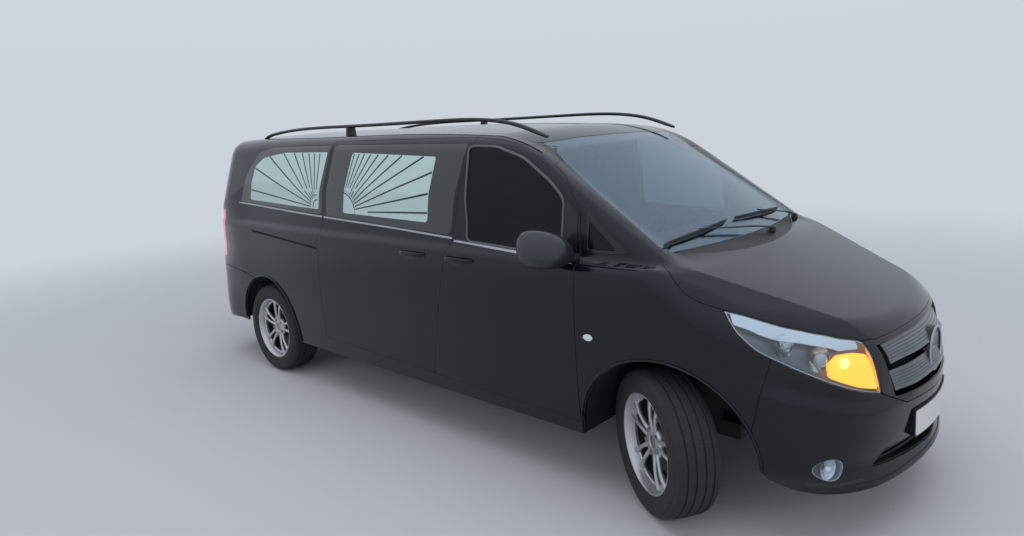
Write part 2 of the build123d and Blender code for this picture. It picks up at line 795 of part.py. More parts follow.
def top_and_tail(shells):
    """Roof, windscreen, tailgate with its glass, rear bumper and tail lamps."""
    pieces = {}
    behind, ahead = tail_x - 115, tail_x + 385
    roof = common(shells["wall"], block((behind, -roof_seam_y, 1700), (door_front_x + 140, roof_seam_y, 1950)))
    screen_hole = whole_front_view(SCREEN_OPENING, 700, nose_x)
    gate_hole = whole_front_view(grown_half(TAILGATE, shut_gap), behind, ahead)
    hinge_z = roof_height - 91.5
    lugs = [block((tail_x + 165, y - 20, hinge_z), (tail_x + 205, y + 20, hinge_z + 38)) for y in (-400, 400)]
    pieces["roof_panel"] = both(less(roof, screen_hole, gate_hole), *lugs)
    pieces["windscreen"] = common(shells["glass"], whole_front_view(seated_half(SCREEN_OPENING), 700, nose_x))
    tail_space_box = block((behind, -beyond, 200), (ahead, beyond, roof_height - 25))
    tail_wall = common(shells["wall"], tail_space_box)
    gate = common(tail_wall, whole_front_view(TAILGATE, behind, tail_x + 285))
    grip = block((tail_x - 8, -250, 962), (tail_x + 40, 250, 990))
    pieces["tailgate"] = both(less(gate, whole_front_view(TAILGATE_WINDOW, behind, ahead)), grip)
    tail_glass = common(shells["glass"], tail_space_box)
    pieces["tailgate_glass"] = common(tail_glass, whole_front_view(seated_half(TAILGATE_WINDOW), behind, ahead))
    bumper_space = block((behind, -beyond, 200), (rear_axle_x - 510 - panel_gap, beyond, tail_gate_low_z - 5))
    pieces["rear_bumper"] = common(shells["wall"], bumper_space)
    lamp_end = tail_x + 242
    lamp_wall = common(shells["wall"], block((behind, -beyond, 200), (lamp_end, 0, 1400)))
    outline = [(-y, z) for y, z in grown(TAIL_LAMP, -panel_gap)]
    pieces["tail_lamps"] = with_mirror(common(lamp_wall, front_view(outline, behind, lamp_end)))
    return pieces


def placed_wheel(x, y, steer, part):
    """A wheel piece, made at the origin with its outer face towards -Y, put at its place."""
    with BuildPart() as placed:
        add(part.moved(Location((x, y, tyre_radius), (0, 0, steer))))
    return placed.part


def tyre():
    """A low tyre: flat tread with bevelled shoulders, bulged walls and beads on the rim."""
    bead = rim_radius + seat_clearance
    bead_half = rim_width / 2 - 12
    half = tyre_width / 2
    profile = [
        (tyre_radius, half - tread_shoulder),
        (tyre_radius - 4, half - 20),
        (tyre_radius - 18, half - 6),
        (tyre_radius - 45, half),
        (tyre_radius - 75, half - 3),
        (bead + 26, half - 14),
        (bead + 21, bead_half),
        (bead, bead_half),
    ]
    with BuildPart() as rubber:
        with BuildSketch(Plane.XY):
            with BuildLine():
                Polyline(*profile, *[(r, -y) for r, y in reversed(profile)], close=True)
            make_face()
        revolve(axis=Axis.Y)
    return rubber.part


def rim():
    """A cast wheel with five pairs of spokes in a dished face, its outer face towards -Y."""
    half = rim_width / 2
    inner = rim_radius - rim_wall
    spacing = 360.0 / spoke_pairs
    with BuildPart() as wheel:
        with BuildSketch(Plane.XY):
            with BuildLine():
                Polyline(
                    (rim_radius + rim_flange, -half),
                    (rim_radius + rim_flange, -half + 9),
                    (rim_radius, -half + 11),
                    (rim_radius, half - 11),
                    (rim_radius + rim_flange, half - 9),
                    (rim_radius + rim_flange, half),
                    (rim_radius - 4, half),
                    (inner, half - 30),
                    (inner, -half + 40),
                    (rim_radius - 2, -half),
                    close=True,
                )
            make_face()
            with BuildLine():
                Polyline(
                    (0, -hub_depth),
                    (hub_radius, -hub_depth),
                    (hub_radius + 18, -spoke_face + 22),
                    (inner + 1, -spoke_face),
                    (inner + 1, -spoke_face - 24),
                    (hub_radius + 14, -spoke_face - 6),
                    (hub_radius - 24, -spoke_face - 6),
                    (hub_radius - 28, -spoke_face),
                    (0, -spoke_face),
                    close=True,
                )
            make_face()
        revolve(axis=Axis.Y)
        with BuildSketch(Plane.XZ.offset(hub_depth)) as wide:
            with PolarLocations(0, spoke_pairs, start_angle=spacing / 2):
                Polygon((84, -17), (inner - 13, -60), (inner - 13, 60), (84, 17), align=None)
            fillet(wide.vertices(), 9)
        extrude(amount=half, mode=Mode.SUBTRACT)
        with BuildSketch(Plane.XZ.offset(hub_depth)) as narrow:
            with PolarLocations(0, spoke_pairs):
                Polygon((104, -9), (inner - 14, -27), (inner - 14, 27), (104, 9), align=None)
            fillet(narrow.vertices(), 6)
        extrude(amount=half, mode=Mode.SUBTRACT)
        with BuildSketch(Plane.XZ.offset(spoke_face - 14)):
            with PolarLocations(56, spoke_pairs, start_angle=spacing / 2):
                Circle(9)
        extrude(amount=half, mode=Mode.SUBTRACT)
    return wheel.part


def knuckle():
    """A hub carrier: a kingpin post with the stub that carries the wheel, outer side towards -Y."""
    with BuildPart() as carrier:
        Cylinder(kingpin_radius, rim_width)
        with BuildSketch(Plane.XZ):
            Circle(stub_radius)
        extrude(amount=front_wheel_offset + hub_depth - seat_clearance)
    return carrier.part


def wheels():
    """Knuckles, tyres and rims; the front ones are turned by their steering angles."""
    rubber, alloy, carrier = tyre(), rim(), knuckle()
    pieces = {}
    for side, name, steer in ((-1, "right", right_steer), (1, "left", left_steer)):
        turn = steer if side < 0 else steer + 180
        heading = math.radians(steer)
        wheel_x = front_axle_x - side * front_wheel_offset * math.sin(heading)
        wheel_y = side * (kingpin_y + front_wheel_offset * math.cos(heading))
        pieces[f"{name}_front_tyre"] = placed_wheel(wheel_x, wheel_y, turn, rubber)
        pieces[f"{name}_front_rim"] = placed_wheel(wheel_x, wheel_y, turn, alloy)
        pieces[f"{name}_knuckle"] = placed_wheel(front_axle_x, side * kingpin_y, turn, carrier)
        rear_turn = 0 if side < 0 else 180
        pieces[f"{name}_rear_tyre"] = placed_wheel(rear_axle_x, side * rear_wheel_y, rear_turn, rubber)
        pieces[f"{name}_rear_rim"] = placed_wheel(rear_axle_x, side * rear_wheel_y, rear_turn, alloy)
    return pieces


def axles_and_engine(seat_space):
    """The rear axle on its trailing arms, the front subframe with its arms, and the engine."""
    pieces = {}
    stub_y = rear_wheel_y + hub_depth - seat_clearance
    floor_low_z = floor_z - floor_thickness
    with BuildPart() as axle:
        with BuildSketch(Plane.XZ.offset(-stub_y)):
            with Locations((rear_axle_x, tyre_radius)):
                Circle(stub_radius)
        extrude(amount=2 * stub_y)
        with Locations((rear_axle_x + 250, 510, axle_beam_z), (rear_axle_x + 250, -510, axle_beam_z)):
            Box(560, 60, 2 * (floor_low_z - seat_clearance - axle_beam_z))
    pieces["rear_axle"] = axle.part
    frame_rail_y = 430.0
    arm_end = kingpin_y - kingpin_radius - seat_clearance
    rail_start = bulkhead_x + bulkhead_thickness + seat_clearance
    rail_length = nose_x - 315 - rail_start
    with BuildPart() as subframe:
        with Locations((front_axle_x, 0, 290)):
            Box(320, 2 * frame_rail_y + 40, 80)
        for side in (1, -1):
            with Locations((front_axle_x, side * (arm_end + frame_rail_y) / 2, 268)):
                Box(70, arm_end - frame_rail_y, 26)
            with Locations((rail_start, side * frame_rail_y, floor_z)):
                Box(rail_length, 70, 100, align=(Align.MIN, Align.CENTER, Align.CENTER))
            with Locations((front_axle_x, side * frame_rail_y, 365)):
                Box(120, 70, 80)
    beam = common(seat_space, block((nose_x - 345, -520, 400), (nose_x, 520, 500)))
    pieces["front_subframe"] = both(subframe.part, beam)
    engine_low_z = 330 + seat_clearance
    pieces["engine_block"] = block((front_axle_x - 50, -300, engine_low_z), (front_axle_x + 450, 300, 900))
    return pieces


def floor_pan(seat_space):
    """The floor with the inner housings of the rear wheels."""
    house_y = floor_half - 312.0
    low_z = floor_z - floor_thickness
    slab = block((tail_x + 245, -floor_half, low_z), (bulkhead_x, floor_half, floor_z))
    above = block((rear_axle_x - 760, -beyond, low_z + 1), (rear_axle_x + 760, 0, 900))
    shell = less(
        axle_cylinder(rear_axle_x, arch_radius + 12, house_y, floor_half),
        axle_cylinder(rear_axle_x, arch_radius, 500, beyond),
    )
    cover = axle_cylinder(rear_axle_x, arch_radius + 12, house_y - 12, house_y)
    housing = common(both(shell, cover), above)
    well = axle_cylinder(rear_axle_x, arch_radius, house_y, beyond)
    return common(both(less(slab, with_mirror(well)), with_mirror(housing)), seat_space)


def steering_wheel(dashboard):
    """A three-spoke wheel on its column, which ends at the dashboard."""
    with BuildPart() as wheel:
        with BuildSketch(Plane.XZ):
            with Locations((185, 0)):
                RegularPolygon(15, 8)
        revolve(axis=Axis.Z)
        Box(360, 34, 16)
        with Locations((90, 0, 0)):
            Box(180, 40, 14)
        Cylinder(45, 36)
        with Locations((0, 0, -70)):
            Cylinder(24, 140)
    with BuildPart() as placed:
        add(wheel.part.moved(Location((front_axle_x - 840, seat_y, 1030), (0, -65, 0))))
    return less(placed.part, dashboard.moved(Location((-seat_clearance, 0, 0))))


def front_seats():
    """Two seats: a raked cushion and back in one form, a headrest on two posts, and a base."""
    low_y = seat_y - seat_width / 2
    rest_x = door_rear_low_x + 155.0
    with BuildPart() as rest:
        with Locations((rest_x, -seat_y, 1420)):
            Box(85, 250, 150)
        fillet(rest.edges(), 25)
        with Locations((rest_x + 5, -seat_y - 60, 1330), (rest_x + 5, -seat_y + 60, 1330)):
            Cylinder(7, 80)
    form = side_view(SEAT_SIDE, low_y, low_y + seat_width, corner=24.0)
    base = block(
        (door_rear_low_x + 290, -seat_y - 180, floor_z + seat_clearance),
        (door_rear_low_x + 690, -seat_y + 180, 705),
    )
    return with_mirror(both(form, base, rest.part))


def coffin_deck():
    """The deck board on its two side walls, with guide strips and rollers across it."""
    low_z = floor_z + seat_clearance
    pieces = [block((deck_rear_x, -deck_half, deck_z - deck_thickness), (deck_front_x, deck_half, deck_z))]
    for side in (-1, 1):
        inner, outer = sorted((side * (deck_half - 25), side * deck_half))
        pieces.append(block((deck_rear_x, inner, low_z), (deck_front_x, outer, deck_z - 10)))
        inner, outer = sorted((side * 310, side * 330))
        pieces.append(block((deck_rear_x, inner, deck_z - 5), (deck_front_x - 40, outer, deck_z + 25)))
    count = int((deck_front_x - deck_rear_x) // roller_pitch)
    start = -1000.0 + roller_pitch / 2
    with BuildPart() as rollers:
        for n in range(count):
            x = start + (n - count // 2) * roller_pitch
            with Locations((x, 0, deck_z - roller_sink)):
                Cylinder(roller_radius, 600, rotation=(90, 0, 0))
    return both(*pieces, rollers.part)


def cab_pieces(seat_space):
    """Partition, dashboard and the cowl with its bulkhead and the arms that the bonnet rests on."""
    pieces = {}
    low_z = floor_z + seat_clearance
    panel = block((partition_x, -beyond, low_z), (partition_x + partition_thickness, beyond, 1900))
    pieces["partition"] = common(seat_space, panel)
    dash_half = half_width - 64.0
    dash = side_view(DASHBOARD_SIDE, 0.0, dash_half, corner=20.0)
    pieces["dashboard"] = common(seat_space, with_mirror(dash))
    cowl_half = half_width - 84.0
    cowl_start = bulkhead_x + seat_clearance
    bulkhead = common(
        seat_space,
        block(
            (cowl_start, -cowl_half, floor_z - floor_thickness),
            (bulkhead_x + bulkhead_thickness, cowl_half, shoulder_z - 2),
        ),
    )
    scuttle = block((bulkhead_x + 15, -800, 1080), (bonnet_rear_x + 40, 800, 1110))
    rest = block((bonnet_rear_x + 200, -640, 1000), (bonnet_rear_x + 400, -560, 1250))
    rest = both(rest, block((bulkhead_x + 15, -640, 1000), (bonnet_rear_x + 400, -560, 1040)))
    rests = common(with_mirror(rest), bonnet_space(roof_wall + seat_clearance))
    pieces["cowl_panel"] = both(bulkhead, scuttle, rests)
    return pieces


def door_mirror(outside):
    """A round-cornered housing, widest at its middle, on a foot that stands on the door."""
    sections = ((half_width + 6, 150, 158), (half_width + 76, 168, 184), (half_width + 156, 118, 128))
    centre_x, centre_z = door_front_x - 115.0, 1243.0
    profiles = []
    for y, along, tall in sections:
        face = Plane(origin=(centre_x, -y, centre_z), x_dir=(1, 0, 0), z_dir=(0, -1, 0))
        profiles.append(face * RectangleRounded(along, tall, 42))
    with BuildPart() as housing:
        loft(profiles)
        with Locations((centre_x - 84, -half_width - 80, centre_z)):
            Box(16, 132, 126, mode=Mode.SUBTRACT)
        with Locations((centre_x - 5, -half_width - 15, centre_z - 78)):
            Box(74, 110, 34)
    return less(housing.part, outside)


def roof_rails(outside):
    """A bar along each roof edge, bent down at both ends, with a post in its length."""
    with BuildPart() as rail:
        with BuildLine():
            path = FilletPolyline(
                (front_axle_x - 870, -rail_y, roof_height - 85),
                (front_axle_x - 1140, -rail_y, roof_height + 23),
                (tail_x + 905, -rail_y, roof_height + 25),
                (tail_x + 655, -rail_y, roof_height - 50),
                radius=200,
            )
        with BuildSketch(Plane(origin=path @ 0, z_dir=path % 0)):
            RegularPolygon(rail_radius, 8)
        sweep()
        with Locations((rear_axle_x + 864, -rail_y, roof_height - 5)):
            Box(60, 22, 60)
    return with_mirror(less(rail.part, outside))


def save(part, name):
    part.label = name
    export_step(part, f"parts/{name}.step")
    print(name, len(part.solids()), round(part.volume / 1e6, 3))


if __name__ == "__main__":
    os.makedirs("parts", exist_ok=True)
    shells = build_shells()
    outside = body_block(-seat_clearance, -seat_clearance)
    seat_space = body_block(wall + panel_gap, roof_wall + panel_gap)
    for name, piece in {**side_pieces(shells), "mirror": door_mirror(outside)}.items():
        save(piece, "right_" + name)
        save(mirrored(piece), "left_" + name)
    pieces = {
        **front_pieces(shells),
        **top_and_tail(shells),
        **wheels(),
        **axles_and_engine(seat_space),
        **cab_pieces(seat_space),
        "floor_pan": floor_pan(seat_space),
        "front_seats": front_seats(),
        "coffin_deck": coffin_deck(),
        "roof_rails": roof_rails(outside),
    }
    pieces["steering_wheel"] = steering_wheel(pieces["dashboard"])
    for name, piece in pieces.items():
        save(piece, name)
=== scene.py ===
# %% [markdown]
# A hearse: a long black van with a coffin deck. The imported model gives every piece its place, its
# size and its joints. This script gives the pieces their looks: smooth glossy panels in place of the
# plain ones, glass, lamps, wheels, and a finish for every surface.
# Everything is in metres, +X forward, +Y to the vehicle's left, +Z up.

# %% Load the frame
import math

import bpy
import numpy as np
from mathutils import Matrix, Vector
from mathutils.geometry import delaunay_2d_cdt


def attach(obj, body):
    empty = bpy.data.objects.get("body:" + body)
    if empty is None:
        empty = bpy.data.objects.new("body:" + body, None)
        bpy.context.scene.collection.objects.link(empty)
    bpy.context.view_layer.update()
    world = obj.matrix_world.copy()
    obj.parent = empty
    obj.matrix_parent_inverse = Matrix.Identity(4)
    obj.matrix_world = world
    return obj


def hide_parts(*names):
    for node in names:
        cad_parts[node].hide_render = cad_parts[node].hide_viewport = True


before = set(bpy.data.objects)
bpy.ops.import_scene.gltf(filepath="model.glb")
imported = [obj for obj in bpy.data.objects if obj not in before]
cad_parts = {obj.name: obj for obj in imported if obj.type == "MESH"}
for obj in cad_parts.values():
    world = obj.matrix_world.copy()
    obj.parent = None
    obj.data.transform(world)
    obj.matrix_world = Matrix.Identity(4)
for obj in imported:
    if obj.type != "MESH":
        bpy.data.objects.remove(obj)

for name in ("Cube", "Light", "Camera"):
    if name in bpy.data.objects:
        bpy.data.objects.remove(bpy.data.objects[name])
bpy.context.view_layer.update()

# %% [markdown]
# The camera comes first, because every comparison with the photograph depends on it. The place and
# the angles were solved from the wheels, the ground line and the corners of the body. The lens has a
# small vertical shift, because the lens's axis meets the photograph a little above its middle.

# %% Camera at the photograph's viewpoint
photo_width, photo_height = 1024, 536
camera_place = Vector((3.36519, -3.50371, 1.82147))
camera_yaw, camera_pitch, camera_roll = 2.32191, -0.14021, -0.05161
focal_pixels = 700.5
axis_row = 222.2


def place_camera():
    """A camera that looks along its yaw and pitch, rolled about its own axis."""
    level = math.cos(camera_pitch)
    ahead = Vector((level * math.cos(camera_yaw), level * math.sin(camera_yaw), math.sin(camera_pitch)))
    flat_right = ahead.cross(Vector((0, 0, 1))).normalized()
    flat_up = flat_right.cross(ahead)
    right = math.cos(camera_roll) * flat_right + math.sin(camera_roll) * flat_up
    up = math.cos(camera_roll) * flat_up - math.sin(camera_roll) * flat_right
    camera = bpy.data.objects.new("camera", bpy.data.cameras.new("camera"))
    turn = Matrix((right, up, -ahead)).transposed().to_4x4()
    camera.matrix_world = Matrix.Translation(camera_place) @ turn
    camera.data.sensor_width = 36.0
    camera.data.lens = focal_pixels / photo_width * 36.0
    camera.data.shift_y = (axis_row - photo_height / 2) / photo_width
    camera.data.clip_start = 0.05
    bpy.context.scene.collection.objects.link(camera)
    bpy.context.scene.camera = camera
    return camera


camera = place_camera()
print("camera lens", round(camera.data.lens, 2), "shift", round(camera.data.shift_y, 4))

# %% [markdown]
# A material is a small graph of nodes. Written as Python expressions the graph reads like the formula
# that it is: Value wraps a socket, and +, * and < on it add Math nodes. Graph.node makes every
# other kind of node from its type, its settings and the values or links of its sockets.

# %% Shader helpers


class Value:
    """A number socket on which Python's operators build Math nodes."""

    def __init__(self, graph, socket):
        self.graph = graph
        self.socket = socket

    def math(self, operation, *others):
        values = {n: other for n, other in enumerate((self, *others))}
        return self.graph.node("ShaderNodeMath", {"operation": operation}, values)

    def __add__(self, other):
        return self.math("ADD", other)

    def __mul__(self, other):
        return self.math("MULTIPLY", other)

    def __lt__(self, other):
        return self.math("LESS_THAN", other)


class Graph:
    """One material's nodes round its Principled BSDF."""

    def __init__(self, name):
        self.material = bpy.data.materials.new(name)
        self.material.use_nodes = True
        self.tree = self.material.node_tree
        self.bsdf = self.tree.nodes["Principled BSDF"]

    def node(self, kind, settings=None, sockets=None, output=0):
        """A node with its settings, then its sockets' values or links; gives one output as a Value."""
        made = self.tree.nodes.new(kind)
        for name, value in (settings or {}).items():
            if name == "stops":
                self.set_stops(made, value)
            else:
                setattr(made, name, value)
        for key, value in (sockets or {}).items():
            self.feed(made.inputs[key], value)
        return Value(self, made.outputs[output])

    def feed(self, socket, value):
        if isinstance(value, Value):
            self.tree.links.new(value.socket, socket)
        elif hasattr(socket.default_value, "__len__"):
            wanted = len(socket.default_value)
            socket.default_value = (*value, 1.0)[:wanted]
        else:
            socket.default_value = value

    def set_stops(self, ramp, stops):
        elements = ramp.color_ramp.elements
        while len(elements) < len(stops):
            elements.new(0.5)
        for element, (place, colour) in zip(elements, stops):
            element.position = place
            element.color = (*colour, 1.0)

    def surface(self, **sockets):
        """Set or link sockets of the shader, named with _ for a space."""
        for name, value in sockets.items():
            self.feed(self.bsdf.inputs[name.replace("_", " ").title()], value)
        return self.material

    def see_through(self, least, tint):
        """Mix the surface with a tinted clear one: least is its share head on, and more at an angle."""
        facing = self.node("ShaderNodeLayerWeight", {}, {"Blend": 0.5}, output=1)
        share = facing.math("POWER", 5.0) * (1.0 - least) + least
        clear = self.node("ShaderNodeBsdfTransparent", {}, {"Color": tint})
        glass = Value(self, self.bsdf.outputs[0])
        return self.blend(share, clear, glass)

    def blend(self, share, first, second):
        """Send a mix of two shaders to the material's output."""
        mixed = self.node("ShaderNodeMixShader", {}, {0: share, 1: first, 2: second})
        self.tree.links.new(mixed.socket, self.tree.nodes["Material Output"].inputs["Surface"])
        return self.material

    def place(self):
        """Where a point lies on its object, in metres."""
        return self.node("ShaderNodeTexCoord", output="Object")

    def noise(self, scale, detail=2.0, stretch=None):
        vector = self.place()
        if stretch:
            vector = self.node("ShaderNodeMapping", {}, {"Vector": vector, "Scale": stretch})
        return self.node("ShaderNodeTexNoise", {}, {"Vector": vector, "Scale": scale, "Detail": detail})

    def mix(self, factor, first, second):
        """A colour between two colours."""
        sockets = {"Factor": factor, 6: first, 7: second}
        return self.node("ShaderNodeMix", {"data_type": "RGBA"}, sockets, output=2)

    def bump(self, height, strength, distance):
        """A height from 0 to 1 turned into a normal; distance is its full size in metres."""
        sockets = {"Height": height, "Strength": strength, "Distance": distance}
        self.surface(normal=self.node("ShaderNodeBump", {}, sockets))


print("shader helpers ready")

# %% [markdown]
# The body's skin is one smooth function, so that reflections run on over every shut line. Form gives
# how far a point lies outside the body: the lower body is a plan curve drawn in by a tuck that
# changes with height, under the bonnet's surface; the cabin is four leaning faces with round edges.
# Each panel is then cut from that one form, as the real panels are pressed to one clay model.

# %% Curves


class Curve:
    """A smooth curve through a few points: a natural cubic spline over chord length."""

    def __init__(self, points, knots=None):
        self.points = np.array(points, float)
        steps = np.linalg.norm(np.diff(self.points, axis=0), axis=1)
        self.knots = np.array(knots, float) if knots is not None else np.append(0, np.cumsum(steps))
        gaps = np.diff(self.knots)
        count = len(self.points)
        system = np.eye(count)
        right = np.zeros_like(self.points)
        slopes = np.diff(self.points, axis=0) / gaps[:, None]
        for k in range(1, count - 1):
            system[k, k - 1 : k + 2] = gaps[k - 1], 2 * (gaps[k - 1] + gaps[k]), gaps[k]
            right[k] = 6 * (slopes[k] - slopes[k - 1])
        self.bend = np.linalg.solve(system, right)

    def at(self, s, order=0):
        """Points of the curve at s, or its derivative there."""
        s = np.clip(np.asarray(s, float), self.knots[0], self.knots[-1])
        k = np.clip(np.searchsorted(self.knots, s) - 1, 0, len(self.knots) - 2)
        gap = (self.knots[k + 1] - self.knots[k])[..., None]
        b = (s - self.knots[k])[..., None] / gap
        a = 1 - b
        low, high = self.points[k], self.points[k + 1]
        bend_low, bend_high = self.bend[k], self.bend[k + 1]
        if order == 0:
            curl = (a**3 - a) * bend_low + (b**3 - b) * bend_high
            return a * low + b * high + curl * gap**2 / 6
        curl = (3 * b**2 - 1) * bend_high - (3 * a**2 - 1) * bend_low
        return (high - low) / gap + curl * gap / 6


def profile(pairs):
    """A smooth function of one number through a short list of pairs."""
    pairs = sorted(pairs)
    curve = Curve([[value] for _, value in pairs], [at for at, _ in pairs])
    return lambda t: curve.at(t)[..., 0]


def ease(low, high, t):
    """0 below low, 1 above high, and smooth between."""
    t = np.clip((t - low) / (high - low), 0, 1)
    return t * t * (3 - 2 * t)


# %% Body form
nose_x, tail_x = 2.685, -2.685
front_axle_x, rear_axle_x, tyre_radius = 1.790, -1.640, 0.338
shoulder_z = 1.150

plan_half = [
    (nose_x, 0.0), (2.651, 0.28), (2.500, 0.650), (2.290, 0.818), (1.950, 0.925), (1.700, 0.956),
    (1.350, 0.963), (0.600, 0.964), (-0.300, 0.964), (-1.200, 0.963), (-1.800, 0.948), (-2.290, 0.924),
    (-2.450, 0.880), (-2.572, 0.790), (-2.665, 0.500), (tail_x, 0.0),
]
mirrored_ends = [(x, -y) for x, y in plan_half[2:0:-1]], [(x, -y) for x, y in plan_half[-2:-4:-1]]
plan = Curve([*mirrored_ends[0], *plan_half, *mirrored_ends[1]])
nose_s, tail_s = plan.knots[2], plan.knots[-3]
plan_table = np.linspace(nose_s - 0.15, tail_s + 0.15, 900)
plan_places = plan.at(plan_table)


def plan_frame(s):
    """The plan curve's point and outward normal at s."""
    along = plan.at(s, 1)
    along /= np.linalg.norm(along, axis=-1, keepdims=True)
    return plan.at(s), np.stack([along[..., 1], -along[..., 0]], axis=-1)


grid_step = 0.02
grid_x = np.arange(-3.0, 3.0, grid_step)
grid_y = np.arange(-0.06, 1.4, grid_step)
grid_cells = np.stack(np.meshgrid(grid_x, grid_y, indexing="ij"), axis=-1)[:, :, None, :]
grid_nearest = np.array([np.argmin(((row - plan_places) ** 2).sum(-1), axis=1) for row in grid_cells])


def plan_distance(x, y):
    """How far (x, y) lies outside the plan curve, and the curve's s there."""
    y = np.abs(y)
    column = np.clip(((x - grid_x[0]) / grid_step + 0.5).astype(int), 0, len(grid_x) - 1)
    row = np.clip(((y - grid_y[0]) / grid_step + 0.5).astype(int), 0, len(grid_y) - 1)
    s = plan_table[grid_nearest[column, row]]
    here = np.stack([x, y], axis=-1)
    for _ in range(3):
        along = plan.at(s, 1)
        s = s + ((here - plan.at(s)) * along).sum(-1) / (along**2).sum(-1)
    point, out = plan_frame(s)
    return ((here - point) * out).sum(-1), s


side_tuck = profile([
    (0.20, 0.052), (0.30, 0.036), (0.42, 0.021), (0.60, 0.007), (0.80, 0.0), (1.0, 0.003),
    (1.15, 0.012), (1.3, 0.03),
])
nose_tuck = profile([
    (0.20, 0.012), (0.23, 0.010), (0.27, 0.016), (0.31, 0.034), (0.38, 0.030), (0.48, 0.014),
    (0.58, 0.004), (0.72, 0.006), (0.90, 0.03), (1.2, 0.06),
])
tail_tuck = profile([
    (0.20, 0.010), (0.33, -0.008), (0.45, -0.012), (0.60, -0.006), (0.80, 0.002), (1.00, 0.014),
    (1.12, 0.010), (1.30, 0.0), (1.9, 0.0),
])
cabin_half = profile([(1.95, 0.80), (1.0, 0.93), (0.3, 0.951), (-1.0, 0.952), (-2.2, 0.926), (-2.725, 0.89)])
roof_top = profile([(1.95, 1.69), (1.0, 1.776), (0.3, 1.815), (-1.0, 1.825), (-2.2, 1.818), (-2.725, 1.79)])
crease_y = profile([(1.50, 0.94), (1.774, 0.815), (2.059, 0.684), (2.316, 0.565), (2.53, 0.480), (2.8, 0.42)])


def round_max(a, b, radius):
    """The larger of two distances, with the edge where they meet rounded to a radius."""
    over = np.hypot(np.maximum(a + radius, 0), np.maximum(b + radius, 0))
    return np.minimum(-radius, np.maximum(a, b)) + over


def soft_min(a, b, reach):
    """The smaller of two distances, with the corner where they meet filled over a reach."""
    blend = np.maximum(reach - np.abs(a - b), 0) / reach
    return np.minimum(a, b) - blend * blend * reach / 4


def bonnet_height(x, y):
    """The bonnet: a slope with a little crown, bent down outside a crease that runs to each lamp."""
    beyond = np.maximum(y - crease_y(x), 0)
    return 1.232 - 0.385 * (x - 1.70) - 0.03 * y**2 - 0.30 * beyond


cabin_lean, tail_lean, screen_slope = 0.218, 0.20, 1.53


def form(points):
    """How far each point lies outside the body."""
    x, y, z = points[..., 0], np.abs(points[..., 1]), points[..., 2]
    away, s = plan_distance(x, y)
    front = ease(2.05, 2.30, x)
    ledge_z = 0.572 + 0.30 * np.maximum(2.56 - x, 0)
    ledge = 0.020 * ease(-0.01, 0.055, z - ledge_z) * ease(2.16, 2.28, x) * (1 - ease(2.60, 2.66, x))
    rear = ease(-2.05, -2.40, x)
    waist = side_tuck(z) * (1 - front) * (1 - 0.6 * rear * ease(0.7, 0.5, z))
    side = away + waist + nose_tuck(z) * front + ledge + tail_tuck(z) * rear
    lid = (z - soft_min(bonnet_height(x, y), shoulder_z + 0.008, 0.03)) * 0.93
    low = round_max(side, lid, 0.045 + 0.055 * ease(1.70, 2.0, x))
    cabin_side = (
        y - cabin_half(x) + cabin_lean * (z - shoulder_z) - 0.006 * np.sin((z - shoulder_z) * 4.6)
    ) * 0.977
    tail = (tail_x + 0.032 + tail_lean * (z - shoulder_z) - x) * 0.982
    roof = z - roof_top(x) + 0.063 * y**2
    screen = (x - 1.852 + 0.19 * y**2 + screen_slope * (z - 1.18)) * 0.547 - 0.014 * ease(0.66, 0.76, y)
    edge = 0.085 - 0.040 * ease(0.75, 1.15, x)
    upper = round_max(round_max(cabin_side, tail, 0.36), round_max(roof, screen, 0.10), edge)
    kept_in = side + 0.006 + 0.034 * ease(-2.42, -1.90, x)
    upper = np.maximum(np.maximum(upper, 1.0 - z), kept_in)
    return soft_min(low, upper, 0.035)


def form_normal(points, step=0.0008):
    """The direction in which the form grows fastest."""
    slope = np.stack([form(points + d) - form(points - d) for d in np.eye(3) * step], axis=-1)
    return slope / np.linalg.norm(slope, axis=-1, keepdims=True)


def cast(origins, directions):
    """Where rays from inside leave the body."""
    reach = np.full(origins.shape[0], 0.05)
    low, high = np.zeros_like(reach), np.full_like(reach, 2.8)
    for _ in range(23):
        middle = (low + high) / 2
        inside = form(origins + directions * middle[:, None]) < 0
        low, high = np.where(inside, middle, low), np.where(inside, high, middle)
    return origins + directions * ((low + high) / 2)[:, None]


print("form at the door", np.round(form(np.array([[0.0, 0.964, 0.8], [1.79, 0.5, 1.3]])), 4))

# %% [markdown]
# A panel is drawn as a flat outline: in side view, from the front, from above, or unrolled along the
# plan curve. Its points are thrown out along rays from inside onto the form. The outline's edge is
# turned over by a small radius and down by the panel's depth, which gives the dark shut lines.

# %% Ways of drawing a panel
swing_depth, swing_rate = 0.45, 3.3
swing_height = profile([
    (-3.0, 1.62), (-1.0, 1.62), (0.4, 1.60), (0.9, 1.46), (1.3, 1.24), (1.7, 0.99), (2.1, 0.84),
    (2.7, 0.56),
])


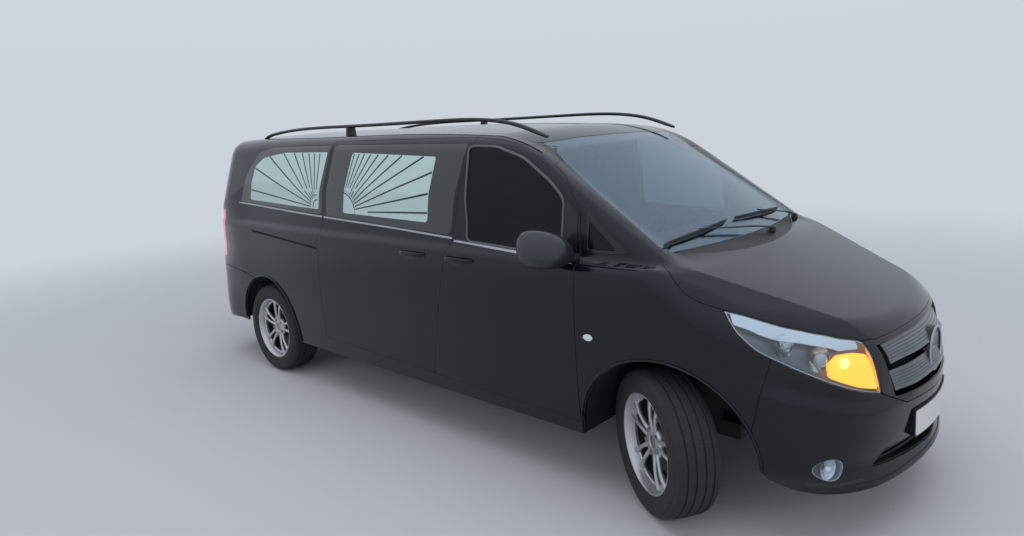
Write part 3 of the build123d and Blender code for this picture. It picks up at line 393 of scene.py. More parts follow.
class Wrap:
    """Unrolled along the plan curve: distance from the nose's or the tail's middle, plus on the right.

    Above a height that changes along the body, the rays swing up over the shoulder or the roof's edge.
    """

    def __init__(self, end):
        self.start, self.way = (nose_s, 1) if end == "nose" else (tail_s, -1)

    def rays(self, flat):
        place, out = plan_frame(self.start + self.way * np.abs(flat[:, 0]))
        side = np.where(flat[:, 0] < 0, 1.0, -1.0)
        turn = swing_height(place[:, 0])
        swing = np.maximum(flat[:, 1] - turn, 0) * swing_rate
        start = place - out * swing_depth
        level = np.cos(swing)
        origins = np.stack([start[:, 0], start[:, 1] * side, np.minimum(flat[:, 1], turn)], axis=-1)
        return origins, np.stack([out[:, 0] * level, out[:, 1] * side * level, np.sin(swing)], axis=-1)

    def flat(self, points):
        away, s = plan_distance(points[:, 0], points[:, 1])
        turn = swing_height(plan.at(s)[..., 0])
        swing = np.arctan2(points[:, 2] - turn, away + swing_depth)
        height = np.where(points[:, 2] > turn, turn + swing / swing_rate, points[:, 2])
        side = np.where(points[:, 1] > 1e-6, -1.0, 1.0)
        return np.stack([(s - self.start) * self.way * side, height], axis=-1)


class Straight:
    """Seen along an axis: from above as x and y, from the front or the rear as y and z."""

    def __init__(self, way, base, columns):
        self.way, self.base, self.columns = np.array(way, float), np.array(base, float), columns

    def rays(self, flat):
        origins = np.tile(self.base, (len(flat), 1))
        origins[:, self.columns] = flat
        return origins, np.tile(self.way, (len(flat), 1))

    def flat(self, points):
        return points[:, self.columns]


from_nose, from_tail = Wrap("nose"), Wrap("tail")
above = Straight((0, 0, 1), (0, 0, 0.75), (0, 1))
ahead = Straight((1, 0, 0), (0, 0, 0), (1, 2))
behind = Straight((-1, 0, 0), (-1.5, 0, 0), (1, 2))
beside = Straight((0, -1, 0), (0, 0, 0), (0, 2))


def dense_line(pairs, step):
    """An open line with points no further apart than step."""
    pairs = np.array(pairs, float)
    dense = [pairs[0]]
    for a, b in zip(pairs, pairs[1:]):
        count = max(1, math.ceil(np.linalg.norm(b - a) / step))
        dense += [a + (b - a) * k / count for k in range(1, count + 1)]
    return np.array(dense)


def trace(view, pairs, step=0.04):
    """Points on the skin's right-hand side along a line drawn in one view."""
    points = cast(*view.rays(dense_line(pairs, step)))
    points[:, 1] = -np.abs(points[:, 1])
    return points


def outline(view, *traces, soften=0.012):
    """A closed outline in a view's flat coordinates, its corners softened."""
    loop = view.flat(np.vstack(traces))
    return softened(loop, soften)


def softened(loop, radius):
    """A loop with its corners rounded by a moving average, then thinned where it is straight."""
    step = max(radius / 3, 0.003)
    fine = fine_loop(loop, step)
    if radius > 0:
        wide = 3
        fine = sum(np.roll(fine, k, axis=0) for k in range(-wide, wide + 1)) / (2 * wide + 1)
    return thinned(fine)


def thinned(loop, slack=0.0004, longest=0.03):
    """Drop points that lie within slack of the line between the points kept."""
    kept = [0]
    k = 0
    while k < len(loop) - 1:
        reach = k + 1
        for n in range(k + 2, min(k + 40, len(loop))):
            chord = loop[n] - loop[k]
            size = np.linalg.norm(chord)
            if size < 1e-9:
                continue
            between = loop[k + 1 : n] - loop[k]
            off = np.abs(between[:, 0] * chord[1] - between[:, 1] * chord[0]) / size
            if size > longest or off.max() > slack:
                break
            reach = n
        k = reach
        kept.append(k)
    return loop[kept]


def across(view, *traces, soften=0.008):
    """A closed outline over both sides, from traces down the right-hand side from middle to middle."""
    half = view.flat(np.vstack(traces))
    flip = [1, -1] if view is above else [-1, 1]
    return softened(np.vstack([half, half[::-1] * flip]), soften)


# %% Panel maker


def fine_loop(loop, step):
    """A closed loop with points no further apart than step."""
    loop = np.array(loop, float)
    dense = []
    for a, b in zip(loop, np.roll(loop, -1, axis=0)):
        count = max(1, math.ceil(np.linalg.norm(b - a) / step))
        dense += [a + (b - a) * k / count for k in range(count)]
    return np.array(dense)


def loop_area(loop):
    x, y = loop[:, 0], loop[:, 1]
    return 0.5 * np.sum(x * np.roll(y, -1) - np.roll(x, -1) * y)


def loop_out(loop):
    """The direction out of a counter-clockwise loop at each of its points."""
    before, after = loop - np.roll(loop, 1, axis=0), np.roll(loop, -1, axis=0) - loop
    before /= np.linalg.norm(before, axis=1, keepdims=True)
    after /= np.linalg.norm(after, axis=1, keepdims=True)
    along = before + after
    along /= np.linalg.norm(along, axis=1, keepdims=True) + 1e-9
    out = np.stack([along[:, 1], -along[:, 0]], axis=-1)
    stretch = 1 / np.maximum((out * np.stack([after[:, 1], -after[:, 0]], axis=-1)).sum(-1), 0.5)
    return out * stretch[:, None]


def inside_loop(points, loop):
    """Which flat points lie inside a loop."""
    x, y = points[:, 0], points[:, 1]
    odd = np.zeros(len(points), bool)
    for a, b in zip(loop, np.roll(loop, -1, axis=0)):
        if a[1] != b[1]:
            crosses = (a[1] > y) != (b[1] > y)
            odd ^= crosses & (x < (b[0] - a[0]) * (y - a[1]) / (b[1] - a[1]) + a[0])
    return odd


def edge_distance(points, loop):
    """How near each flat point lies to a loop's edges."""
    nearest = np.full(len(points), 9.0)
    for a, b in zip(loop, np.roll(loop, -1, axis=0)):
        along = b - a
        t = np.clip(((points - a) @ along) / max(along @ along, 1e-12), 0, 1)
        nearest = np.minimum(nearest, np.linalg.norm(points - a - t[:, None] * along, axis=1))
    return nearest


def grown(loop, by):
    """A loop moved outwards by a width, or inwards by a negative one."""
    if loop_area(loop) < 0:
        loop = loop[::-1]
    return loop + loop_out(loop) * by


def bends(view, grid, keep):
    """How far the form turns, in radians, from each kept point of a grid to its neighbours."""
    normals = np.full((*keep.shape, 3), np.nan)
    normals[keep] = form_normal(cast(*view.rays(grid[keep])))
    turn = np.zeros(keep.shape)
    for axis in (0, 1):
        step = np.nan_to_num(np.linalg.norm(np.diff(normals, axis=axis), axis=-1))
        low, high = [slice(None)] * 2, [slice(None)] * 2
        low[axis], high[axis] = slice(0, -1), slice(1, None)
        turn[tuple(low)] = np.maximum(turn[tuple(low)], step)
        turn[tuple(high)] = np.maximum(turn[tuple(high)], step)
    return turn


def triangulate(loops, step, view, most_turn=0.035):
    """Triangles between an outer loop and its holes; the grid inside is finer where the form turns."""
    low, high = loops[0].min(axis=0), loops[0].max(axis=0)
    fine = step / 2
    rows = np.arange(low[1], high[1], fine * 0.87)
    columns = np.arange(low[0], high[0], fine)
    row, column = np.meshgrid(np.arange(len(rows)), np.arange(len(columns)), indexing="ij")
    grid = np.stack([columns[column] + (row % 2) * fine / 2, rows[row]], axis=-1)
    flat_grid = grid.reshape(-1, 2)
    keep = inside_loop(flat_grid, loops[0])
    near = np.full(len(flat_grid), 9.0)
    for k, loop in enumerate(loops):
        if k:
            keep &= ~inside_loop(flat_grid, loop)
        near[keep] = np.minimum(near[keep], edge_distance(flat_grid[keep], loop))
    keep &= near > fine * 0.6
    keep = keep.reshape(row.shape)
    coarse = (row % 2 == 0) & (column % 2 == (row // 2) % 2) & (near.reshape(row.shape) > step * 0.55)
    keep &= coarse | (bends(view, grid, keep) > most_turn)
    flat = np.vstack([*loops, grid[keep]])
    edges, start = [], 0
    for loop in loops:
        count = len(loop)
        edges += [(start + k, start + (k + 1) % count) for k in range(count)]
        start += count
    made = delaunay_2d_cdt([Vector(p) for p in flat], edges, [], 1, 1e-7)
    origin = {new: old[0] for new, old in enumerate(made[3]) if old}
    faces = [[origin[v] for v in face] for face in made[2] if all(v in origin for v in face)]
    middles = flat[np.array(faces)].mean(axis=1)
    solid = inside_loop(middles, loops[0])
    for hole in loops[1:]:
        solid &= ~inside_loop(middles, hole)
    return flat, [face for face, kept in zip(faces, solid) if kept]


def link_object(name, mesh, material=None):
    obj = bpy.data.objects.new(name, mesh)
    bpy.context.scene.collection.objects.link(obj)
    if material:
        mesh.materials.append(material)
    return obj


def panel(name, view, border, material, holes=(), depth=0.018, step=0.03, edge=0.003, rise=0.0, twin=True):
    """A panel of the skin, and its left-hand twin; rise lifts it off the form, or sinks it below."""
    loops, outs = [], []
    for k, loop in enumerate([border, *holes]):
        loop = fine_loop(loop, step)
        if (loop_area(loop) > 0) != (k == 0):
            loop = loop[::-1]
        out = loop_out(loop)
        loops.append(loop - out * edge)
        outs.append(out)
    flat, faces = triangulate(loops, step, view)

    def skin(at, sunk):
        points = cast(*view.rays(at))
        normals = form_normal(points)
        return points + normals * (rise - sunk), normals

    top, normals = skin(flat, 0.0)
    low, _ = skin(flat, depth)
    count = len(flat)
    sample = faces[0]
    facing = np.cross(top[sample[1]] - top[sample[0]], top[sample[2]] - top[sample[0]]) @ normals[sample[0]]
    if facing < 0:
        faces = [face[::-1] for face in faces]
    vertices = [*top, *low]
    polygons = [list(f) for f in faces] + [[v + count for v in reversed(f)] for f in faces]
    start = 0
    flip = facing < 0
    for loop, out in zip(loops, outs):
        size = len(loop)
        rings = [list(range(start, start + size))]
        for away, sunk in ((0.7, 0.3), (1.0, 1.0)):
            ring, _ = skin(loop + out * edge * away, edge * sunk)
            rings.append(list(range(len(vertices), len(vertices) + size)))
            vertices += list(ring)
        ring, _ = skin(loop + out * edge, depth)
        rings.append(list(range(len(vertices), len(vertices) + size)))
        vertices += list(ring)
        rings.append(list(range(start + count, start + count + size)))
        for first, second in zip(rings, rings[1:]):
            for k in range(size):
                n = (k + 1) % size
                quad = [first[k], second[k], second[n], first[n]]
                polygons.append(quad[::-1] if flip else quad)
        start += size
    vertices = np.array(vertices)
    pieces = []
    for side in ("right", "left") if twin else ("",):
        mesh = bpy.data.meshes.new(name)
        place = vertices * [1, -1, 1] if side == "left" else vertices
        order = [p[::-1] for p in polygons] if side == "left" else polygons
        mesh.from_pydata([tuple(v) for v in place], [], order)
        mesh.shade_smooth()
        skin_normals = np.array([tuple(n.vector) for n in mesh.vertex_normals])
        skin_normals[:count] = normals * [1, -1, 1] if side == "left" else normals
        mesh.normals_split_custom_set_from_vertices([tuple(n) for n in skin_normals])
        pieces.append(link_object(f"{side}_{name}" if side else name, mesh, material))
    return pieces


print("panel maker ready")

# %% [markdown]
# Now the panels themselves. Most shut lines are drawn once, in the view in which that is easiest, and
# are shared by the two panels that meet there. Numbers are metres: x and y from the body's middle, z
# from the ground.

# %% Materials


def glass(name, colour, metallic, least, tint):
    """A pane: a glossy face seen more at an angle, and a tinted view through it."""
    graph = Graph(name)
    graph.surface(base_color=colour, metallic=metallic, roughness=0.02, coat_weight=1.0, coat_roughness=0.02)
    return graph.see_through(least, tint)


paint = Graph("black_paint")
flake, haze = paint.noise(900.0, 1.0), paint.noise(3.0, 3.0)
paint.surface(
    base_color=paint.mix(flake, (0.0022, 0.0032, 0.0065), (0.0040, 0.0060, 0.0120)),
    roughness=haze * 0.06 + 0.16, coat_weight=0.55, coat_roughness=0.02,
)
paint.bsdf.inputs["Specular IOR Level"].default_value = 0.12
paint = paint.material
dark_glass = glass("dark_glass", (0.006, 0.007, 0.008), 0.0, 0.90, (0.10, 0.12, 0.13))
cab_glass = glass("cab_glass", (0.55, 0.60, 0.64), 1.0, 0.035, (0.34, 0.38, 0.39))
# The windscreen is real glass whose glossy face is pale blue metal: its blue is a painted sky reflection.
sky_tinted_screen_glass = glass("windscreen_glass", (0.66, 0.78, 0.90), 1.0, 0.14, (0.66, 0.76, 0.80))
lens_glass = glass("lens_glass", (0.85, 0.88, 0.92), 1.0, 0.05, (0.95, 0.97, 0.98))
black_plastic = Graph("black_plastic")
black_plastic.surface(base_color=(0.014, 0.014, 0.015), roughness=0.5)
black_plastic.bump(black_plastic.noise(700.0, 2.0), 0.25, 0.0006)
black_plastic = black_plastic.material
seal_rubber = Graph("seal_rubber").surface(base_color=(0.085, 0.090, 0.098), roughness=0.34)
gloss_black = Graph("gloss_black").surface(base_color=(0.006, 0.006, 0.007), roughness=0.14)
bright_trim = Graph("bright_trim").surface(base_color=(0.42, 0.44, 0.47), metallic=1.0, roughness=0.28)
red_lens = Graph("red_lens")
ribs = red_lens.node(
    "ShaderNodeTexWave", {"bands_direction": "Z"}, {"Vector": red_lens.place(), "Scale": 26.0},
)
red_lens.surface(
    base_color=red_lens.mix(ribs, (0.40, 0.004, 0.006), (0.78, 0.015, 0.016)), roughness=0.10,
    coat_weight=1.0,
)
red_lens.surface(emission_color=(1.0, 0.02, 0.02), emission_strength=0.30)
red_lens = red_lens.material
# Near-black: the wheel-arch liners, and painted shade in strips and sheets where the slide slot, the grille
# and the intake are dark inside.
gap_black = Graph("gap_black").surface(base_color=(0.003, 0.003, 0.003), roughness=0.9)

# %% Side panels
arch_radius, door_front_x, sill_z = 0.413, 1.3625, 0.30
window_corner, quarter_corner = 0.03, 0.018
door_low = [(1.360, 0.364), (0.290, 0.387), (-0.843, 0.410)]
slide_rear = [(-0.843, 0.410), (-0.843, 1.180), (-0.828, 1.250), (-0.745, 1.760)]
door_top = [(-0.745, 1.760), (0.600, 1.755), (0.784, 1.736), (0.995, 1.690), (1.215, 1.537), (1.335, 1.401)]
wing_line = [(1.335, 1.401), (door_front_x, 1.112), (door_front_x, 0.364)]
front_window = [
    (0.600, 1.203), (1.243, 1.177), (1.232, 1.440), (1.150, 1.520), (0.965, 1.640), (0.770, 1.700),
    (0.580, 1.706),
]
front_fixed = [(1.262, 1.168), (1.336, 1.163), (1.326, 1.385), (1.250, 1.448)]
slide_pane = [(-0.803, 1.264), (0.455, 1.216), (0.560, 1.725), (-0.727, 1.736)]
rear_pane = [(-2.045, 1.312), (-0.852, 1.268), (-0.773, 1.736), (-1.55, 1.733), (-1.76, 1.700), (-1.93, 1.55)]
quarter_pane = [(1.392, 1.212), (1.543, 1.212), (1.392, 1.340)]
quarter_trim = [(1.374, 1.196), (1.570, 1.196), (1.604, 1.205), (1.580, 1.222), (1.374, 1.392)]


def closed(pairs):
    return [*pairs, pairs[0]]


def side_loop(pairs, soften=0.012):
    """An outline drawn in side view, on the right-hand side."""
    return outline(from_nose, trace(beside, closed(pairs)), soften=soften)


def arch_line(axle_x, radius, start, stop, count=40):
    """Part of a circle round an axle in side view; angles are in degrees from straight ahead."""
    turns = np.radians(np.linspace(start, stop, count))
    return [(axle_x + radius * math.cos(a), tyre_radius + radius * math.sin(a)) for a in turns]


def on_body(pieces, body, *nodes):
    """Right and left pieces ride their bodies and stand for their CAD nodes; {} is the side."""
    for piece in pieces:
        side = piece.name.split("_")[0]
        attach(piece, body.format(side))
        if nodes:
            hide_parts(*[node.format(side) for node in nodes])


front_loop = side_loop(front_window, window_corner)
slide_loop, rear_loop = side_loop(slide_pane, window_corner), side_loop(rear_pane, window_corner)
quarter_loop = side_loop(quarter_pane, quarter_corner)
front_door = panel(
    "front_door_panel", from_nose, side_loop([*door_low[:2], *door_top[1:], *wing_line[1:2]]), paint,
    holes=[grown(front_loop, 0.014)], depth=0.05,
)
on_body(front_door, "{}_door", "{}_front_door")
seals = panel(
    "door_glass_seal", from_nose, grown(front_loop, 0.013), seal_rubber, holes=[front_loop], depth=0.012,
    edge=0.004, rise=0.002,
)
on_body(seals, "{}_door")
fixed = panel(
    "door_fixed_trim", from_nose, side_loop(front_fixed, 0.01), gloss_black, depth=-0.001, edge=0.001,
    rise=0.0015,
)
on_body(fixed, "{}_door")
sliding_door = panel(
    "sliding_door_panel", from_nose, side_loop([*door_low[1:2], *slide_rear, *door_top[1:2]]), paint,
    holes=[slide_loop], depth=0.05,
)
on_body(sliding_door, "body", "{}_sliding_door")
print("doors", [len(p.data.polygons) for p in (*front_door, *sliding_door)])

lamp_rear_x, lamp_low_z, lamp_high_z, lamp_inner_y = -2.325, 0.845, 1.235, 0.741
roof_seam = [(0.915, -0.668), (0.800, -0.682), (0.0, -0.682), (-1.0, -0.682), (-2.2, -0.674), (-2.46, -0.655)]
screen_side = [(-0.745, 1.197), (-0.706, 1.450), (-0.634, 1.711)]
gate_side = [(-0.643, 1.730), (-0.738, 1.292), (-0.7385, lamp_high_z)]
gate_low = [(-0.738, lamp_low_z), (-0.735, 0.782), (-0.709, 0.588)]
rear_seam = [(lamp_rear_x, 0.777), (-2.15, 0.772), (-1.97, 0.753), (-1.815, 0.728)]
side_border = outline(
    from_nose,
    trace(ahead, screen_side),
    trace(above, roof_seam),
    trace(behind, gate_side),
    trace(beside, [(lamp_rear_x, lamp_high_z), (lamp_rear_x, lamp_low_z)]),
    trace(behind, gate_low[:2]),
    trace(beside, [*rear_seam, *arch_line(rear_axle_x, arch_radius, 113, 0), (-1.227, sill_z)]),
    trace(beside, [(-1.2, sill_z), (door_front_x, sill_z), *door_low[:2], *slide_rear]),
    trace(beside, [*door_top[1:], (door_front_x, 1.112), (door_front_x, 1.150), (1.698, 1.150)]),
    soften=0.006,
)
side_panel = panel(
    "side_panel_skin", from_nose, side_border, paint,
    holes=[rear_loop, quarter_loop],
)
on_body(side_panel, "body", "{}_side_panel")
print("side panel", [len(p.data.polygons) for p in side_panel])

# %% Roof, windscreen, bonnet and cowl
screen_top = [(-0.634, 1.711), (-0.33, 1.727), (0.0, 1.731)]
roof_rear = [(-2.46, -0.655), (-2.515, -0.40), (-2.53, 0.0)]
roof_border = across(above, trace(ahead, screen_top[::-1]), trace(above, [*roof_seam, *roof_rear[1:]]))
roof = panel("roof_skin", above, roof_border, paint, twin=False)
on_body(roof, "body", "roof_panel")

screen_low = [(0.0, 1.197), (-0.742, 1.197)]
screen_border = across(ahead, trace(ahead, [*screen_low, *screen_side[1:], *screen_top[1:]]), soften=0.012)
windscreen = panel("windscreen_pane", ahead, screen_border, sky_tinted_screen_glass, depth=0.005, edge=0.002, twin=False)
on_body(windscreen, "body", "windscreen")
band = panel(
    "windscreen_band", ahead, screen_border, gloss_black, holes=[grown(screen_border, -0.035)], depth=0.001,
    edge=0.002,
    rise=-0.0065, twin=False,
)
on_body(band, "body")

bonnet_rear = Curve([(1.915, 0.0), (1.885, -0.30), (1.800, -0.56), (1.702, -0.760)])
bonnet_rear = [tuple(p) for p in bonnet_rear.at(np.linspace(0, bonnet_rear.knots[-1], 25))]
bonnet_side = [
    (1.712, -0.782), (1.770, -0.830), (1.850, -0.880), (1.905, -0.893), (1.973, -0.880),
    (2.063, -0.847),
]
bonnet_lamp = [(2.063, -0.847), (2.188, -0.777), (2.361, -0.658), (2.443, -0.590), (2.507, -0.515)]
bonnet_front = [(2.507, -0.515), (2.538, -0.455), (2.567, -0.330), (2.588, -0.180), (2.598, 0.0)]
bonnet = panel(
    "bonnet_skin", above,
    across(above, trace(above, [*bonnet_rear, *bonnet_side, *bonnet_lamp[1:], *bonnet_front[1:]])),
    paint, twin=False, step=0.02, edge=0.004,
)
on_body(bonnet, "bonnet", "bonnet")
cowl = panel(
    "cowl_skin", above,
    across(above, trace(ahead, [*screen_low, (-0.752, 1.21)]), trace(above, bonnet_rear[::-1]), soften=0.004),
    black_plastic, twin=False, edge=0.001, rise=-0.004,
)
on_body(cowl, "body")
print("roof, screen, bonnet", [len(p.data.polygons) for p in (*roof, *windscreen, *bonnet)])

# %% Nose
lamp_low = [
    (2.063, 1.006), (2.125, 0.923), (2.204, 0.845), (2.246, 0.816), (2.285, 0.795), (2.418, 0.726),
    (2.571, 0.638),
]
lamp_inner = [(-0.515, 0.862), (-0.470, 0.638)]
bumper_side = [(2.172, 0.470), (2.195, 0.560), (2.246, 0.816)]
wing_border = outline(
    from_nose,
    trace(beside, [(door_front_x, 1.147), (1.695, 1.149)]),
    trace(above, bonnet_side),
    trace(beside, lamp_low[:4]),
    trace(beside, bumper_side[::-1]),
    trace(beside, [*arch_line(front_axle_x, arch_radius, 20, 180), (1.377, sill_z), (door_front_x, sill_z)]),
    soften=0.006,
)
wing = panel("wing_skin", from_nose, wing_border, paint, step=0.022)
on_body(wing, "body")
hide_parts("front_wings")

lamp_border = outline(
    from_nose,
    trace(above, bonnet_lamp),
    trace(ahead, lamp_inner),
    trace(beside, lamp_low[::-1]),
    soften=0.006,
)
lamp_lens = panel("headlamp_lens", from_nose, lamp_border, lens_glass, depth=0.004, edge=0.0025, step=0.015)
on_body(lamp_lens, "body")
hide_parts("headlamps")

grille_hole = [(0.0, 0.606), (-0.386, 0.606), (-0.464, 0.838), (0.0, 0.854)]
surround_border = across(
    from_nose,
    trace(above, bonnet_front[::-1]),
    trace(ahead, [*lamp_inner, (-0.330, 0.570), (0.0, 0.560)]),
)
surround = panel(
    "grille_surround", from_nose, surround_border, gloss_black,
    holes=[across(from_nose, trace(ahead, grille_hole))], depth=0.035, twin=False, step=0.02,
)
on_body(surround, "body")


lip = [
    (2.23, 0.300), (2.346, 0.262), (2.42, 0.248), (2.50, 0.243), (2.567, 0.242), (2.63, 0.250),
    (2.664, 0.258),
]
intake = [(0.0, 0.302), (-0.50, 0.318), (-0.43, 0.384), (0.0, 0.384)]
fog_place, fog_radius = (-0.670, 0.342), 0.046
fog_ring = [
    (fog_place[0] + fog_radius * math.cos(t), fog_place[1] + fog_radius * math.sin(t))
    for t in np.linspace(0, 2 * math.pi, 25)[:-1]
]
bumper_border = across(
    from_nose,
    trace(ahead, [(0.0, 0.557), (-0.330, 0.567), (-0.468, 0.634)]),
    trace(beside, [*lamp_low[:3:-1], *bumper_side[::-1]]),
    trace(beside, [*arch_line(front_axle_x, arch_radius, 18, 0, 8), (2.203, 0.325)]),
    trace(beside, lip),
    trace(ahead, [(-0.10, 0.262), (0.0, 0.263)]),
    soften=0.006,
)
fog_loop = outline(from_nose, trace(ahead, closed(fog_ring)), soften=0.003)
bumper = panel(
    "bumper_skin", from_nose, bumper_border, paint,
    holes=[across(from_nose, trace(ahead, intake)), fog_loop, fog_loop * [-1, 1]], twin=False, step=0.015,
)
on_body(bumper, "body", "front_bumper")
print("nose", [len(p.data.polygons) for p in (*wing, *lamp_lens, *surround, *bumper)])

# %% Tail
gate_border = across(
    behind, trace(behind, [(0.0, 0.590), *gate_low[::-1], *gate_side[::-1]]), trace(above, roof_rear),
)
gate_window = [(0.0, 1.195), (-0.625, 1.195), (-0.545, 1.640), (0.0, 1.655)]
gate_hole = across(behind, trace(behind, gate_window), soften=window_corner)
tailgate = panel("tailgate_skin", behind, gate_border, paint, holes=[gate_hole], twin=False, depth=0.04)
on_body(tailgate, "tailgate", "tailgate")
gate_pane = panel("tailgate_pane", behind, gate_hole, dark_glass, depth=0.005, edge=0.002, twin=False)
on_body(gate_pane, "tailgate", "tailgate_glass")
tail_lamp_border = outline(
    from_tail,
    trace(behind, [(-lamp_inner_y, lamp_high_z), (-lamp_inner_y, lamp_low_z)]),
    trace(beside, [(lamp_rear_x, lamp_low_z), (lamp_rear_x, lamp_high_z)]),
)
tail_lamp = panel("tail_lamp_lens", from_tail, tail_lamp_border, red_lens, depth=0.03)
on_body(tail_lamp, "body")
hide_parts("tail_lamps")
rear_bumper_border = across(
    from_tail,
    trace(behind, [(0.0, 0.582), (-0.706, 0.584), (-0.735, 0.776)]),
    trace(beside, [(x, z - 0.004) for x, z in rear_seam]),
    trace(beside, [*arch_line(rear_axle_x, arch_radius, 114, 180), (-2.153, 0.345), (-2.56, 0.325)]),
    trace(behind, [(-0.60, 0.325), (0.0, 0.325)]),
)
rear_bumper = panel("rear_bumper_skin", from_tail, rear_bumper_border, paint, twin=False)
on_body(rear_bumper, "body", "rear_bumper")
print("tail", [len(p.data.polygons) for p in (*tailgate, *gate_pane, *tail_lamp, *rear_bumper)])

# %% Side glass
front_pane = panel("front_door_pane", from_nose, front_loop, cab_glass, depth=0.005, edge=0.002, rise=-0.006)
on_body(front_pane, "{}_door", "{}_door_glass")
side_panes = {
    "slide_pane": (slide_loop, dark_glass), "rear_pane": (rear_loop, dark_glass),
    "quarter_pane": (quarter_loop, cab_glass),
}
trim = panel(
    "quarter_trim", from_nose, side_loop(quarter_trim, 0.01), gloss_black, holes=[quarter_loop],
    depth=0.004, edge=0.002, rise=0.003,
)
on_body(trim, "body")
for name, (loop, material) in side_panes.items():
    pane = panel(name, from_nose, loop, material, depth=0.005, edge=0.002)
    on_body(pane, "body", "{}_side_glass")
print("glass ready")

# %% [markdown]
# Smaller pieces come from a few plain ways of making a mesh: turned about an axle, drawn along a
# path, and a grid of quads with some left out for a perforated slat.

# %% Small makers


def mesh_object(name, vertices, polygons, material, body=None, smooth=True, sharp=0.6):
    """A mesh from points and polygons that rides a body."""
    mesh = bpy.data.meshes.new(name)
    mesh.from_pydata([tuple(v) for v in vertices], [], [tuple(p) for p in polygons])
    mesh.validate()
    if smooth:
        mesh.shade_smooth()
        mesh.set_sharp_from_angle(angle=sharp)
    piece = link_object(name, mesh, material)
    if body:
        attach(piece, body)
    return piece


def tube_faces(rings, size, closed_ends=True, loop=False):
    """Quads between rings of size points each, with caps."""
    faces = []
    for r in range(rings if loop else rings - 1):
        n = (r + 1) % rings
        for k in range(size):
            m = (k + 1) % size
            faces.append((r * size + k, r * size + m, n * size + m, n * size + k))
    if closed_ends and not loop:
        faces.append(tuple(reversed(range(size))))
        faces.append(tuple(range((rings - 1) * size, rings * size)))
    return faces


def turned(profile_points, count=96, start=0.0, sweep=2 * math.pi):
    """A closed profile of radius and y turned about the Y axis; returns points and faces."""
    profile_points = np.array(profile_points, float)
    full = sweep > 6.28
    turns = start + np.linspace(0, sweep, count, endpoint=not full)
    rings = [
        np.stack(
            [profile_points[:, 0] * math.cos(a), profile_points[:, 1], profile_points[:, 0] * math.sin(a)],
            axis=-1,
        )
        for a in turns
    ]
    return np.vstack(rings), tube_faces(len(turns), len(profile_points), loop=full)


def frames_along(path):
    """A side and an up direction at each point of a path, carried along without twist."""
    path = np.array(path, float)
    along = np.gradient(path, axis=0)
    along /= np.linalg.norm(along, axis=1, keepdims=True)
    up = np.array([0.0, 0.0, 1.0]) if abs(along[0][2]) < 0.9 else np.array([0.0, 1.0, 0.0])
    sides, ups = [], []
    for direction in along:
        side = np.cross(direction, up)
        side /= np.linalg.norm(side)
        up = np.cross(side, direction)
        sides.append(side)
        ups.append(up)
    return np.array(sides), np.array(ups)


def drawn(path, section, scale=None):
    """A section of side and up offsets drawn along a path; scale is one factor for each path point."""
    path, section = np.array(path, float), np.array(section, float)
    sides, ups = frames_along(path)
    scale = np.ones(len(path)) if scale is None else np.array(scale, float)
    rings = [p + (section[:, :1] * s + section[:, 1:] * u) * k for p, s, u, k in zip(path, sides, ups, scale)]
    return np.vstack(rings), tube_faces(len(path), len(section))


def ring_section(width, height, count=12, square=2.0):
    """A round, oval or squarish section."""
    turns = np.linspace(0, 2 * math.pi, count, endpoint=False)
    c, s = np.cos(turns), np.sin(turns)
    return [
        (width / 2 * np.sign(a) * abs(a) ** (2 / square), height / 2 * np.sign(b) * abs(b) ** (2 / square))
        for a, b in zip(c, s)
    ]


def joined(parts):
    """Several (points, faces) as one."""
    points, faces, start = [], [], 0
    for part_points, part_faces in parts:
        points.append(np.array(part_points, float))
        faces += [tuple(v + start for v in face) for face in part_faces]
        start += len(part_points)
    return np.vstack(points), faces


def brick(low, high, bevel=0.0):
    """A box; a bevel cuts off the edges round its top and its bottom."""
    low, high = np.array(low, float), np.array(high, float)
    x0, y0, z0 = low
    x1, y1, z1 = high
    b = bevel
    rings = []
    for z, inset in ((z0, b), (z0 + b, 0), (z1 - b, 0), (z1, b)) if b else ((z0, 0), (z1, 0)):
        rings += [
            (x0 + inset, y0 + inset, z), (x1 - inset, y0 + inset, z), (x1 - inset, y1 - inset, z),
            (x0 + inset, y1 - inset, z),
        ]
    return np.array(rings), tube_faces(4 if b else 2, 4)


def mirror_part(part):
    points, faces = part
    return points * [1, -1, 1], [tuple(reversed(face)) for face in faces]


print("small makers ready")

# %% Grille


